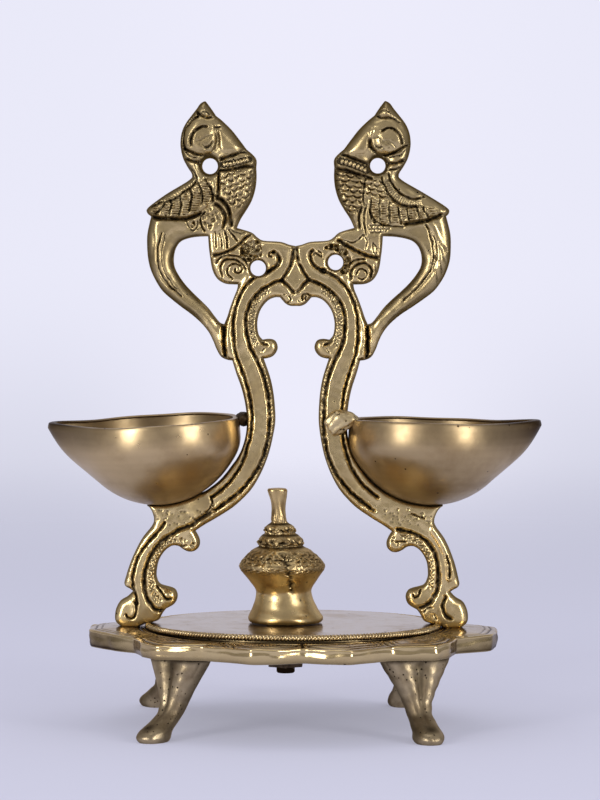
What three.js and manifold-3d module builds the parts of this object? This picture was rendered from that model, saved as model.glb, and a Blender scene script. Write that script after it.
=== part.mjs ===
// Peacock oil lamp in brass: a ten-petal plate on four legs, a twin peacock frame standing on it,
// an oil bowl on the knee of each arm and a kalash finial in the middle of the plate.
// Millimetres, +Z up, the floor at z = 0, the front towards -Y.

import * as THREE from 'three';
import { mergeVertices } from 'three/addons/utils/BufferGeometryUtils.js';
import Module from 'manifold-3d';

const wasm = await Module();
wasm.setup();

// Clearances
const seatGap = 0.3;
const holeClearance = 0.3;
const socketEndGap = 0.3;

// How far a cutting tool runs past the face it cuts, and a joined stem runs into its body
const cutOverrun = 1;
const joinOverlap = 0.5;

// Plate
const plateUnderHeight = 25.6;
const rimThickness = 4.6;
const petalFall = 2.9;
const discRadius = 48.8;
const petalNotchRadius = 53.5;
const petalTipRadius = 67;
const petalLevel = 6.5;
const ropeRingRadius = 47.3;
const ropeThickness = 2.4;
const underRecessRadius = 33;
const underRecessDepth = 2.6;
const studBossRadius = 8.5;
const studBossHeight = 2.1;
const screwWellDepth = 3;

// Legs. Each knee lies so far inside the petal tips, so many degrees round from +X, and its foot points
// its own way. The lower sections lie so far forward of the knee.
const legPlaces = {
  front_left_leg: { inset: 19.1, angle: 223.6, facing: 233 },
  front_right_leg: { inset: 16.2, angle: 321.4, facing: 290 },
  rear_left_leg: { inset: 16, angle: 143.9, facing: 124 },
  rear_right_leg: { inset: 18.1, angle: 39.3, facing: 100 },
};
const kneeHalfDepth = 5.5;
const kneeHalfWidth = 11.2;
const shinHeight = 15.2;
const shinForward = 2.5;
const shinHalfDepth = 4.7;
const shinHalfWidth = 6.2;
const ankleHeight = 8.2;
const ankleForward = 4.9;
const ankleHalfDepth = 4.1;
const ankleHalfWidth = 3.7;
const toeHeight = 1.7;
const toeForward = 13;
const toeHalfDepth = 6;
const toeHalfWidth = 4.6;
const soleInset = 0.5;
const legGrooveDepth = 1.3;
const legGrooveSpread = 19;
const tenonRadius = 3.2;
const tenonLength = 3.4;

// Frame, its height taken from the plate's disc to the tips of the crests
const frameHeight = 170.3;
const frameThickness = 8.6;
const neckHoleRadius = 2.7;
const bridgeHoleRadius = 2.6;
const bodyProud = 0.9;
const wingProud = 1.5;
const eyeProud = 1.7;
const bandProud = 0.6;
const bandWidth = 4.4;
const tailWidth = 6.8;
const scrollProud = 0.7;

// Bowls
const bowlRadius = 27.9;
const bowlDepth = 27.9;
const bowlWall = 1.8;
const bowlFloor = 2.2;
const lipReach = 8.2;
const lipSpread = 22;
const lipStart = 0.3;
const lipSweep = 1.3;
const leftBowlDroop = 2.9;
const leftBowlNod = 2;
const rightBowlDroop = 1.3;
const rightBowlNod = -0.5;

// Bowl rivets
const rivetInset = 3.4;
const rivetRadius = 1.5;
const rivetHeadRadius = 3.2;
const rivetHeadHeight = 1.5;
const rivetCrownRadius = 2.6;
const rivetCrownHeight = 1;
const rivetGrip = 6;

// Braze metal at the bowl rims: how far each blob reaches from the rim, into the arm and over the bowl
const leftBrazeBite = -0.3;
const leftBrazeLap = 3.4;
const leftBrazeWidth = 5;
const leftBrazeHeight = 3;
const leftBrazeRise = -0.3;
const rightBrazeBite = 6.1;
const rightBrazeLap = 3.6;
const rightBrazeWidth = 7.4;
const rightBrazeHeight = 8.6;
const rightBrazeRise = -1.4;
const rightBrazeForward = 6.2;

// Finial, heights above the face that it stands on
const finialOffset = -2.4;
const finialLean = 3.6;
const finialBaseRadius = 12.2;
const finialBaseLip = 2;
const finialBaseChamfer = 0.5;
const finialBellHollow = 0.6;
const finialWaistRadius = 8.7;
const finialWaistHeight = 9.2;
const finialWaistBand = 2.2;
const finialWaistFlare = 1;
const finialPotRadius = 14.1;
const finialPotHeight = 18.2;
const finialPotRound = 1.5;
const finialPotBelly = 2.1;
const finialShoulderRadius = 7.4;
const finialShoulderHeight = 25;
const finialShoulderSlope = 1.5;
const finialShoulderBand = 1.8;
const finialNeckCut = 0.6;
const finialTierRadius = 5;
const finialTierHeight = 30;
const finialTierBand = 2.4;
const pegRadius = 2.05;
const pegFillet = 0.5;
const pegNeckHeight = 37.2;
const pegTopRadius = 3.1;
const pegTopBand = 1;
const pegTopChamfer = 0.4;
const finialHeight = 43.8;

// Stud, nut and screws under the plate
const studRadius = 3;
const studEnd = 2.2;
const nutAcrossFlats = 11;
const nutThickness = 5.6;
const finialWasherRadius = 7.4;
const washerThickness = 1;
const screwRadius = 2;
const screwBite = 6;
const screwHeadRadius = 3.6;
const screwHeadHeight = 1.8;
const screwHeadFlatRadius = 2.7;
const screwHeadEdge = 0.8;
const screwSlotWidth = 1;
const screwSlotDepth = 0.9;
const screwWasherRadius = 4.6;

// Heights that follow from the stack
const rimTop = plateUnderHeight + rimThickness;
const discTop = rimTop + petalFall;
const recessRoof = plateUnderHeight + underRecessDepth;
const bossUnder = recessRoof - studBossHeight;
const underSeat = plateUnderHeight - seatGap;
const screwWellRoof = plateUnderHeight + screwWellDepth;
const finialSeat = discTop + seatGap;
const washerTop = bossUnder - seatGap;
const nutTop = washerTop - washerThickness - seatGap;
const nutBottom = nutTop - nutThickness;
const studBottom = nutBottom - studEnd;
const screwWasherFoot = screwWellRoof - seatGap - washerThickness;
const screwSeat = screwWasherFoot - seatGap;
const screwTop = discTop + screwBite;

// The middle of a leg's knee, seen from above
function kneeSpot({ inset, angle }) {
  const reach = petalTipRadius - inset;
  return new THREE.Vector2(reach * Math.cos(angle * degrees), reach * Math.sin(angle * degrees));
}

// The frame's drawing, in points out from the middle and up from the floor. Its foot stands over the
// screw at the disc's height and its crest is the highest point. A drawn point is carried to the real
// disc and frame height.
const drawnFoot = [53.2, 33.1];
const drawnCrest = [29.3, 203.4];
const drawingScale = frameHeight / (drawnCrest[1] - drawnFoot[1]);

function drawn([out, up], side = 1) {
  return new THREE.Vector2(side * out * drawingScale, discTop + (up - drawnFoot[1]) * drawingScale);
}

const leftKnee = drawn([43, 71.8], -1);
const rightKnee = drawn([44.6, 71.8]);
const footScrewReach = drawn(drawnFoot).x;

const degrees = Math.PI / 180;

// Solids and meshes

function solidOf(geometry) {
  const bare = geometry.clone();
  bare.deleteAttribute('normal');
  bare.deleteAttribute('uv');
  const merged = mergeVertices(bare, 1e-4);
  return new wasm.Manifold(new wasm.Mesh({
    numProp: 3,
    vertProperties: new Float32Array(merged.attributes.position.array),
    triVerts: new Uint32Array(merged.index.array),
  }));
}

function geometryOf(solid) {
  const mesh = solid.getMesh();
  const geometry = new THREE.BufferGeometry();
  geometry.setAttribute('position', new THREE.BufferAttribute(mesh.vertProperties, 3));
  geometry.setIndex(new THREE.BufferAttribute(mesh.triVerts, 1));
  geometry.computeVertexNormals();
  return geometry;
}

function joined(...geometries) {
  return geometries.map(solidOf).reduce((whole, solid) => whole.add(solid));
}

function cut(solid, ...geometries) {
  return geometries.map(solidOf).reduce((rest, tool) => rest.subtract(tool), solid);
}

// A cylinder that stands along Z from one height to another
function post(radius, from, to, x = 0, y = 0, sides = 24) {
  const geometry = new THREE.CylinderGeometry(radius, radius, to - from, sides);
  geometry.rotateX(Math.PI / 2);
  return geometry.translate(x, y, (from + to) / 2);
}

// A lathe turned about Z from a profile of [radius, height] points, bottom first
function turned(profile, sides = 48) {
  const points = profile.map(([radius, height]) => new THREE.Vector2(radius, height));
  return new THREE.LatheGeometry(points, sides).rotateX(Math.PI / 2);
}

// Moves every point of a geometry by a rule
function reshaped(geometry, rule) {
  const position = geometry.attributes.position;
  const point = new THREE.Vector3();
  for (let i = 0; i < position.count; i += 1) {
    point.fromBufferAttribute(position, i);
    rule(point);
    position.setXYZ(i, point.x, point.y, point.z);
  }
  return geometry;
}

// Materials

function brass(colour, roughness) {
  return new THREE.MeshStandardMaterial({ color: colour, roughness, metalness: 1 });
}

const castBrass = brass(0xa8925f, 0.42);
const plateBrass = brass(0xa89a7c, 0.22);
const spunBrass = brass(0xb39c6a, 0.3);
const legBrass = brass(0x8f7e58, 0.45);
const finialBrass = brass(0xbd9448, 0.28);
const brazeMetal = brass(0xc2ad7a, 0.4);
const fixingSteel = brass(0x8a8780, 0.4);

const lamp = new THREE.Group();

function place(name, geometry, material, parent = lamp) {
  const mesh = new THREE.Mesh(geometry, material);
  mesh.name = name;
  parent.add(mesh);
  return mesh;
}

// Base plate

// The uneven edge of the five petals of the front half, and turned half round the rear half's:
// degrees from the front, and how far out from the notch radius to the tip radius
const petalEdge = [
  [-84, 1], [-71, 0.56], [-62.5, 0.24], [-52, 0.48], [-43.6, 0.63], [-29.6, 0.11], [-17, 0.21],
  [-10.8, 0.47], [-3.6, 0.3], [5.3, 0.02], [12, 0.29], [19.3, 0.56], [36, 0.23], [47, 0.82],
  [53.5, 0.76], [65, 0.41], [76, 1], [86, 1.02],
];

function petalOutline() {
  const points = [];
  for (const turn of [-90, 90]) {
    for (const [fromFront, out] of petalEdge) {
      const angle = (turn + fromFront) * degrees;
      const radius = petalNotchRadius + (petalTipRadius - petalNotchRadius) * out;
      points.push(new THREE.Vector2(radius * Math.cos(angle), radius * Math.sin(angle)));
    }
  }
  return new THREE.Shape(points);
}

// The disc, the sloping petals and their level tips, solid down to the given height; grow lifts
// the top face
function plateBlock(bottom, grow = 0) {
  const edge = petalTipRadius + cutOverrun;
  const body = turned([
    [0, bottom],
    [edge, bottom],
    [edge, rimTop + grow],
    [petalTipRadius - petalLevel, rimTop + grow],
    [discRadius, discTop + grow],
    [0, discTop + grow],
  ], 60);
  const depth = discTop + grow - bottom + 2 * cutOverrun;
  const outline = new THREE.ExtrudeGeometry(petalOutline(), { depth, bevelEnabled: false });
  return solidOf(body).intersect(solidOf(outline.translate(0, 0, bottom - cutOverrun)));
}

function ropeRing(grow = 0) {
  const rope = new THREE.TorusGeometry(ropeRingRadius, ropeThickness / 2 + grow, 6, 48);
  return solidOf(rope.translate(0, 0, discTop));
}

function basePlate() {
  const under = plateUnderHeight - cutOverrun;
  const over = discTop + cutOverrun;
  let plate = plateBlock(plateUnderHeight).add(ropeRing());
  plate = cut(plate, post(underRecessRadius, under, recessRoof, 0, 0, 48));
  plate = plate.add(solidOf(post(studBossRadius, bossUnder, recessRoof + joinOverlap, finialOffset)));
  plate = cut(plate, post(studRadius + holeClearance, under, over, finialOffset));
  for (const side of [-1, 1]) {
    plate = cut(
      plate,
      post(screwRadius + holeClearance, under, over, side * footScrewReach),
      post(screwWasherRadius + holeClearance, under, screwWellRoof, side * footScrewReach, 0, 28),
    );
  }
  for (const legPlace of Object.values(legPlaces)) {
    const { x, y } = kneeSpot(legPlace);
    const top = underSeat + tenonLength + socketEndGap;
    plate = cut(plate, post(tenonRadius + holeClearance, under, top, x, y));
  }
  return plate;
}

place('base_plate', geometryOf(basePlate()), plateBrass);

// Legs, drawn facing +X with the knee over the middle, then turned and moved to their places

function legSections() {
  const stations = [
    [0, toeForward, toeHalfDepth - soleInset, toeHalfWidth - soleInset],
    [toeHeight, toeForward, toeHalfDepth, toeHalfWidth],
    [ankleHeight, ankleForward, ankleHalfDepth, ankleHalfWidth],
    [shinHeight, shinForward, shinHalfDepth, shinHalfWidth],
    [underSeat, 0, kneeHalfDepth, kneeHalfWidth],
  ];
  const curve = (column) => new THREE.SplineCurve(
    stations.map((station) => new THREE.Vector2(station[0], station[column])),
  );
  return { forward: curve(1), halfDepth: curve(2), halfWidth: curve(3), count: stations.length };
}

function leg() {
  const sections = legSections();
  const spans = (sections.count - 1) * 2;
  const rough = new THREE.CylinderGeometry(1, 1, 1, 18, spans);
  rough.rotateX(Math.PI / 2).translate(0, 0, 0.5);
  const body = reshaped(rough, (point) => {
    const t = point.z;
    const forward = sections.forward.getPoint(t);
    const across = Math.hypot(point.x, point.y);
    const angle = Math.atan2(point.y, point.x);
    const groove = legGrooveDepth * Math.exp(-((angle / (legGrooveSpread * degrees)) ** 2));
    point.x = forward.y + (sections.halfDepth.getPoint(t).y - groove) * across * Math.cos(angle);
    point.y = sections.halfWidth.getPoint(t).y * across * Math.sin(angle);
    point.z = forward.x;
  });
  return joined(body, post(tenonRadius, underSeat - joinOverlap, underSeat + tenonLength));
}

for (const [name, legPlace] of Object.entries(legPlaces)) {
  const { x, y } = kneeSpot(legPlace);
  const placed = place(name, geometryOf(leg()), legBrass);
  placed.rotation.z = legPlace.facing * degrees;
  placed.position.set(x, y, 0);
}

// Bowls

// Pulls the upper wall out into the pointed lip on the side away from the arm
function pullLip(side) {
  return (point) => {
    const angle = Math.atan2(point.y, side * point.x) / degrees;
    const across = Math.hypot(point.x, point.y) / bowlRadius;
    const rise = Math.max(0, point.z / bowlDepth - lipStart) / (1 - lipStart);
    const peak = Math.exp(-((angle / lipSpread) ** 2));
    point.x += side * lipReach * peak * across * Math.min(rise, 1) ** lipSweep;
  };
}

// Half of an ellipse from the axis at the bottom to the rim
function bowlCurve(radius, depth, bottom) {
  const steps = 7;
  const points = [];
  for (let i = 0; i <= steps; i += 1) {
    const turn = (Math.PI / 2) * i / steps;
    points.push([radius * Math.sin(turn), bottom + depth * (1 - Math.cos(turn))]);
  }
  return points;
}

function bowlShell(side) {
  const inner = bowlCurve(bowlRadius - bowlWall, bowlDepth - bowlFloor, bowlFloor).reverse();
  return reshaped(turned([...bowlCurve(bowlRadius, bowlDepth, 0), ...inner], 32), pullLip(side));
}

// The bowl's outer form, filled and grown by a clearance, for what has to clear it
function bowlSpace(side, grow) {
  const outer = bowlCurve(bowlRadius + grow, bowlDepth + grow, -grow);
  return reshaped(turned([...outer, [0, bowlDepth]], 32), pullLip(side));
}

// The rivet runs down from the bowl's floor into the knee
function rivetAt(side) {
  return -side * rivetInset;
}

function bowl(side) {
  const x = rivetAt(side);
  return cut(
    solidOf(bowlShell(side)),
    post(rivetRadius + holeClearance, -cutOverrun, bowlFloor + cutOverrun, x),
    post(rivetHeadRadius + holeClearance, bowlFloor, bowlFloor + rivetHeadHeight + cutOverrun, x),
  );
}

function rivet(side) {
  const x = rivetAt(side);
  const seat = bowlFloor + seatGap;
  const head = turned([
    [0, seat],
    [rivetHeadRadius, seat],
    [rivetCrownRadius, seat + rivetCrownHeight],
    [0, seat + rivetHeadHeight],
  ], 20);
  return joined(head.translate(x, 0, 0), post(rivetRadius, -rivetGrip, seat + joinOverlap, x, 0, 20));
}

function bowlTurn(side) {
  const droop = side < 0 ? leftBowlDroop : rightBowlDroop;
  const nod = side < 0 ? leftBowlNod : rightBowlNod;
  return new THREE.Euler(nod * degrees, side * droop * degrees, 0);
}

function bowlMatrix(side) {
  const turn = new THREE.Quaternion().setFromEuler(bowlTurn(side));
  const knee = side < 0 ? leftKnee : rightKnee;
  const at = new THREE.Vector3(knee.x, 0, knee.y);
  return new THREE.Matrix4().compose(at, turn, new THREE.Vector3(1, 1, 1));
}

// Frame, drawn in the X-Z plane on the +X side and mirrored to the other

// Each stretch is a smooth curve through its points, and the stretches meet at corners
const outlineStretches = {
  bridge: [[0, 156.1], [2.2, 156.6], [5, 157.5], [10.5, 157.9], [12.6, 159], [14.5, 160.6], [19.4, 162.1]],
  breast: [[19.4, 162.1], [16, 168.3], [13.2, 175], [12.9, 181.8]],
  collar: [[12.9, 181.8], [12.8, 184.2], [13.9, 185.8], [16, 187.6]],
  neck: [[16, 187.6], [20.9, 194], [24, 197], [25.9, 198.5], drawnCrest],
  head: [drawnCrest, [31.9, 200.8], [35.6, 196], [37.3, 189.6], [36.3, 184.6], [33.4, 178.8]],
  wing: [[33.4, 178.8], [35.4, 177], [42.2, 173], [48.4, 168.8], [49, 167.2], [47.8, 166]],
  tail: [
    [47.8, 166], [49.2, 160], [49, 152], [46.6, 145.4], [41, 139.2],
    [33.9, 134.1], [28.4, 128.5], [25.8, 122.8], [24.4, 120.4], [20.5, 119],
  ],
  armOuter: [
    [20.5, 119], [17.8, 110], [16.2, 100], [16.4, 95], [19, 87.2],
    [22.7, 82], [27.5, 77.4], [34.3, 73.4],
  ],
  bowlSeat: [[34.3, 73.4], [36, 75]],
  bowlSeatTop: [[36, 75], [48, 75]],
  bowlSeatSide: [[48, 75], [48, 71.7]],
  calfOuter: [
    [48, 71.7], [46.4, 70.3], [45.6, 67.6], [46.2, 65.2], [49.6, 60.2],
    [52.6, 53.5], [54.4, 47.3], [54, 45], [51.6, 43.5],
  ],
  footScroll: [[51.6, 43.5], [55.8, 40.2], [57.6, 35.6], [56.2, 31.4]],
  footFlat: [[56.2, 31.4], [50, 31.4]],
  footInner: [[50, 31.4], [48, 33.4], [43.8, 35.4], [41.2, 37.8]],
  footCurl: [[41.2, 37.8], [38.6, 39.3], [37.6, 41.2], [38.9, 44.3], [42.8, 45.4], [44, 46.5]],
  calfInner: [
    [44, 46.5], [44.5, 51], [42.8, 55.8], [39.3, 58.6], [37.2, 58.9],
    [33.8, 57.2], [30.9, 58.8], [31.7, 63.9],
  ],
  armInner: [
    [31.7, 63.9], [25.5, 67.7], [17.2, 74], [12.3, 80.8], [9.1, 89],
    [7.3, 99], [7.9, 109], [10, 117.5], [10.9, 119.8],
  ],
  archCurl: [[10.9, 119.8], [7.9, 120.5], [6.2, 123.6], [8.8, 125.9], [11, 125.6]],
  arch: [[11, 125.6], [12.8, 129.8], [11.9, 135.2], [8.8, 139], [5, 139.8]],
  pendant: [[5, 139.8], [4.1, 138.7], [1.6, 137], [0, 137]],
};

const tailLoopStretches = {
  under: [
    [28.3, 159.7], [35.7, 158.9], [39.9, 155.5], [40.3, 149.5], [36.8, 144],
    [28.8, 136.1], [24.9, 131.2], [22.9, 130.7],
  ],
  armSide: [[22.9, 130.7], [21.2, 136.3], [18.6, 144]],
  scrollSide: [[18.6, 144], [22.7, 144.2], [26.4, 147.3], [27.6, 152.5], [28.3, 159.7]],
};

const holeCentres = { neck: [27, 182.4], bridge: [12.6, 150] };

function traced(points, perSpan = 2) {
  const corners = points.map((point) => drawn(point));
  if (corners.length === 2) return corners;
  return new THREE.SplineCurve(corners).getPoints((corners.length - 1) * perSpan);
}

function chained(stretches) {
  return Object.values(stretches).flatMap((points) => traced(points).slice(0, -1));
}

function onSide(side, points) {
  return points.map((point) => drawn(point, side));
}

// Extrudes a drawn shape evenly to both sides of the X-Z plane
function slab(shape, thickness) {
  const geometry = new THREE.ExtrudeGeometry(shape, {
    depth: thickness, bevelEnabled: false, curveSegments: 8,
  });
  return geometry.translate(0, 0, -thickness / 2).rotateX(Math.PI / 2);
}

function mirrored(points) {
  return points.map((point) => new THREE.Vector2(-point.x, point.y));
}

function circlePoints(centre, radius, sides = 16) {
  const points = [];
  for (let i = 0; i < sides; i += 1) {
    const angle = 2 * Math.PI * i / sides;
    const x = centre.x + radius * Math.cos(angle);
    points.push(new THREE.Vector2(x, centre.y + radius * Math.sin(angle)));
  }
  return points;
}

// Holes run against the outline, so each path is turned the way asked for
function wound(points, clockwise) {
  return THREE.ShapeUtils.isClockWise(points) === clockwise ? points : [...points].reverse();
}

function frameSlab() {
  const half = chained(outlineStretches);
  const middle = drawn(outlineStretches.pendant.at(-1));
  const whole = [...half, middle, ...mirrored(half).slice(1).reverse()];
  const shape = new THREE.Shape(wound(whole, false));
  for (const side of [-1, 1]) {
    const holes = [
      chained(tailLoopStretches).map((point) => new THREE.Vector2(side * point.x, point.y)),
      circlePoints(drawn(holeCentres.neck, side), neckHoleRadius),
      circlePoints(drawn(holeCentres.bridge, side), bridgeHoleRadius),
    ];
    shape.holes.push(...holes.map((points) => new THREE.Path(wound(points, true))));
  }
  return slab(shape, frameThickness);
}

// Raised forms that stand proud of both faces
const raisedForms = [
  {
    proud: bodyProud,
    outline: [
      [13.9, 180.6], [14, 175.5], [16.8, 169], [20.4, 163.4], [26, 161], [34, 161.5], [46.6, 166.4],
      [47.6, 168], [42, 171.9], [36, 175.4], [31, 177.6], [22.5, 180],
    ],
  },
  {
    proud: wingProud,
    outline: [
      [27, 176.4], [36, 174.6], [46.6, 168], [43.6, 165.8], [33, 165.3], [27.6, 167.4], [25.4, 171.6],
    ],
  },
  {
    proud: bodyProud,
    outline: [
      [15.4, 186.4], [20.6, 192.6], [24.5, 196.3], [29, 200], [33.2, 197.6], [36.2, 193], [36.4, 188.4],
      [34.6, 184], [31.6, 185], [27.4, 186.4], [21, 185.2],
    ],
  },
  { proud: wingProud, outline: [[13.6, 182.4], [23.4, 181.2], [23.6, 184.6], [14.6, 185.8]] },
];

const raisedDiscs = [
  { at: [30, 190.8], radius: 3.7, proud: eyeProud },
  { at: [20.4, 149.6], radius: 4.9, proud: scrollProud },
  { at: [6.9, 152.4], radius: 2.6, proud: scrollProud },
  { at: [53.2, 37.2], radius: 3.6, proud: scrollProud },
  { at: [40.6, 41.6], radius: 2.4, proud: scrollProud },
  { at: [33.2, 60.2], radius: 1.8, proud: scrollProud },
  { at: [8.9, 123.2], radius: 1.9, proud: scrollProud },
];

const centreDiamond = [[0, 151], [3.7, 146], [0, 141.3], [-3.7, 146]];

// Centre line of the flat band that runs down each arm
const bandLine = [
  [2.6, 153.4], [6.4, 147.6], [12.4, 143.2], [16.6, 137.4], [18.2, 130], [17.2, 120],
  [13.6, 110], [12.2, 100], [13.2, 90], [17.6, 80.6], [25.6, 72.8], [35.4, 68], [43, 63.6],
  [47.9, 56.6], [50.2, 48], [49, 38.6],
];

const tailLine = [
  [45.3, 161.5], [45.4, 153], [43, 146.4], [37.4, 140.4], [31, 135], [26.8, 129.4], [24.4, 122.6],
];

// A strip of rounded section along a drawn line, standing proud of both faces
function strip(side, line, halfWidth, halfThickness, steps) {
  const corners = onSide(side, line).map((point) => new THREE.Vector3(point.x, 0, point.y));
  const sides = 8;
  const scale = 1 / Math.cos(Math.PI / sides);
  const section = [];
  for (let i = 0; i < sides; i += 1) {
    const angle = 2 * Math.PI * (i + 0.5) / sides;
    const through = halfThickness * scale * Math.sin(angle);
    const across = halfWidth * scale * Math.cos(angle);
    section.push(new THREE.Vector2(through, across));
  }
  return new THREE.ExtrudeGeometry(new THREE.Shape(section), {
    steps, extrudePath: new THREE.CatmullRomCurve3(corners),
  });
}

function raisedSlab(points, proud) {
  return slab(new THREE.Shape(points), frameThickness + 2 * proud);
}

function frameCasting() {
  const pieces = [frameSlab(), raisedSlab(onSide(1, centreDiamond), bodyProud)];
  const bandHalfDepth = frameThickness / 2 + bandProud;
  const tailHalfDepth = frameThickness / 2 + bodyProud;
  for (const side of [-1, 1]) {
    for (const form of raisedForms) {
      pieces.push(raisedSlab(onSide(side, form.outline), form.proud));
    }
    for (const disc of raisedDiscs) {
      const radius = disc.radius * drawingScale;
      pieces.push(raisedSlab(circlePoints(drawn(disc.at, side), radius, 14), disc.proud));
    }
    pieces.push(strip(side, bandLine, bandWidth / 2, bandHalfDepth, 24));
    pieces.push(strip(side, tailLine, tailWidth / 2, tailHalfDepth, 9));
  }
  return joined(...pieces);
}

// The casting is cut to sit over the plate and the bowls, and drilled for what holds it
function frame() {
  const screwHoleFoot = rimTop - cutOverrun;
  const rivetHoleEnd = -rivetGrip - socketEndGap;
  let solid = frameCasting();
  solid = solid.subtract(plateBlock(plateUnderHeight, seatGap)).subtract(ropeRing(seatGap));
  for (const side of [-1, 1]) {
    const bowlAt = bowlMatrix(side);
    solid = cut(
      solid,
      bowlSpace(side, seatGap).applyMatrix4(bowlAt),
      post(rivetRadius + holeClearance, rivetHoleEnd, cutOverrun, rivetAt(side)).applyMatrix4(bowlAt),
      post(screwRadius + holeClearance, screwHoleFoot, screwTop + socketEndGap, side * footScrewReach),
      rimBrazeBlob(side, seatGap),
    );
  }
  return solid;
}

// Braze metal, a blob let into the arm and run up against the bowl's rim

function rimBrazeBlob(side, grow = 0) {
  const isLeft = side < 0;
  const rim = new THREE.Vector3(-side * bowlRadius, 0, bowlDepth).applyMatrix4(bowlMatrix(side));
  const from = rim.x - side * (isLeft ? leftBrazeBite : rightBrazeBite);
  const to = rim.x + side * (isLeft ? leftBrazeLap : rightBrazeLap);
  const width = isLeft ? leftBrazeWidth : rightBrazeWidth;
  const height = isLeft ? leftBrazeHeight : rightBrazeHeight;
  const blob = new THREE.SphereGeometry(1, 16, 10).rotateX(Math.PI / 2);
  blob.scale(Math.abs(to - from) / 2 + grow, width / 2 + grow, height / 2 + grow);
  const forward = isLeft ? 0 : rightBrazeForward;
  const rise = isLeft ? leftBrazeRise : rightBrazeRise;
  return blob.translate((from + to) / 2, -forward, rim.z + rise);
}

function rimBraze(side) {
  return cut(solidOf(rimBrazeBlob(side)), bowlSpace(side, seatGap).applyMatrix4(bowlMatrix(side)));
}

// Finial, turned about Z and leaning to one side from its foot upwards

function finial() {
  const bellRadius = (finialBaseRadius + finialWaistRadius) / 2 - finialBellHollow;
  const tierTop = finialTierHeight + finialTierBand / 2;
  const profile = [
    [0, 0],
    [finialBaseRadius - finialBaseChamfer, 0],
    [finialBaseRadius, finialBaseLip],
    [bellRadius, (finialBaseLip + finialWaistHeight) / 2],
    [finialWaistRadius, finialWaistHeight],
    [finialWaistRadius + finialWaistFlare, finialWaistHeight + finialWaistBand],
    [finialPotRadius - finialPotRound, finialPotHeight - finialPotBelly],
    [finialPotRadius, finialPotHeight],
    [finialPotRadius - finialPotRound, finialPotHeight + finialPotBelly],
    [finialShoulderRadius + finialShoulderSlope, finialShoulderHeight - finialShoulderSlope],
    [finialShoulderRadius - finialNeckCut, finialShoulderHeight],
    [finialShoulderRadius, finialShoulderHeight + finialShoulderBand],
    [finialTierRadius, finialTierHeight - finialTierBand / 2],
    [finialTierRadius, tierTop],
    [pegRadius + pegFillet, tierTop + pegFillet],
    [pegRadius, pegNeckHeight],
    [pegTopRadius, finialHeight - pegTopBand],
    [pegTopRadius - pegTopChamfer, finialHeight],
    [0, finialHeight],
  ];
  const lean = Math.tan(finialLean * degrees);
  const body = reshaped(turned(profile, 24), (point) => {
    point.x -= lean * point.z;
  });
  const stud = post(studRadius, studBottom - finialSeat, joinOverlap, 0, 0, 20);
  return joined(body, stud);
}

// Washers and the nut
function ring(outer, inner, height, sides) {
  const bore = post(inner, -cutOverrun, height + cutOverrun);
  return cut(solidOf(post(outer, 0, height, 0, 0, sides)), bore);
}

// Screws, drawn head down with the underside of the head at z = 0

function screw(length) {
  const head = turned([
    [0, -screwHeadHeight],
    [screwHeadFlatRadius, -screwHeadHeight],
    [screwHeadRadius, -screwHeadEdge],
    [screwHeadRadius, 0],
    [0, 0],
  ], 24);
  const slotLength = 2 * (screwHeadRadius + cutOverrun);
  const slot = new THREE.BoxGeometry(slotLength, screwSlotWidth, screwSlotDepth * 2);
  slot.translate(0, 0, -screwHeadHeight);
  return cut(joined(head, post(screwRadius, -joinOverlap, length, 0, 0, 20)), slot);
}

place('twin_peacock_frame', geometryOf(frame()), castBrass);

for (const [name, side] of [['left', -1], ['right', 1]]) {
  const seat = new THREE.Group();
  seat.applyMatrix4(bowlMatrix(side));
  lamp.add(seat);
  place(`${name}_bowl`, geometryOf(bowl(side)), spunBrass, seat);
  place(`${name}_bowl_rivet`, geometryOf(rivet(side)), castBrass, seat);
  place(`${name}_rim_braze`, geometryOf(rimBraze(side)), brazeMetal);

  const x = side * footScrewReach;
  const washer = ring(screwWasherRadius, screwRadius + holeClearance, washerThickness, 28);
  place(`${name}_frame_washer`, geometryOf(washer), fixingSteel)
    .position.set(x, 0, screwWasherFoot);
  place(`${name}_frame_screw`, geometryOf(screw(screwTop - screwSeat)), fixingSteel)
    .position.set(x, 0, screwSeat);
}

place('kalash_finial', geometryOf(finial()), finialBrass).position.set(finialOffset, 0, finialSeat);

const finialWasher = ring(finialWasherRadius, studRadius + holeClearance, washerThickness, 32);
place('finial_washer', geometryOf(finialWasher), fixingSteel)
  .position.set(finialOffset, 0, washerTop - washerThickness);

const nut = ring(nutAcrossFlats / Math.sqrt(3), studRadius + holeClearance, nutThickness, 6);
place('finial_nut', geometryOf(nut), fixingSteel).position.set(finialOffset, 0, nutBottom);

export default lamp;
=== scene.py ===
import math

import bmesh
import bpy
import numpy as np
from mathutils import Euler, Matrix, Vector


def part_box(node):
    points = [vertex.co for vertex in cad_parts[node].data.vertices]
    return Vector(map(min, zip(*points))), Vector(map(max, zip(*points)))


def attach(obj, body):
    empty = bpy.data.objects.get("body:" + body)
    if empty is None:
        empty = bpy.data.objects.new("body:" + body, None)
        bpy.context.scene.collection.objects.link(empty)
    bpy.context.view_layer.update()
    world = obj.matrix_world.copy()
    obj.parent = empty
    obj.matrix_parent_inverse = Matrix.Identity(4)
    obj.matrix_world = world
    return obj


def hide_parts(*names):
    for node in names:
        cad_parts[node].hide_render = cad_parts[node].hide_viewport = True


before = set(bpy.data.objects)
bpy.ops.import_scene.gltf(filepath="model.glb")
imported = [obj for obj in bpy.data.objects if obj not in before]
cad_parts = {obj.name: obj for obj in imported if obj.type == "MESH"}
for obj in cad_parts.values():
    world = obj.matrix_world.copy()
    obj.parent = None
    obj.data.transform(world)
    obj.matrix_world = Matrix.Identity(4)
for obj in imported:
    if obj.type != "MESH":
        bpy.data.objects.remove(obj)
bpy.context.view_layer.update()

MM = 0.001


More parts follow.
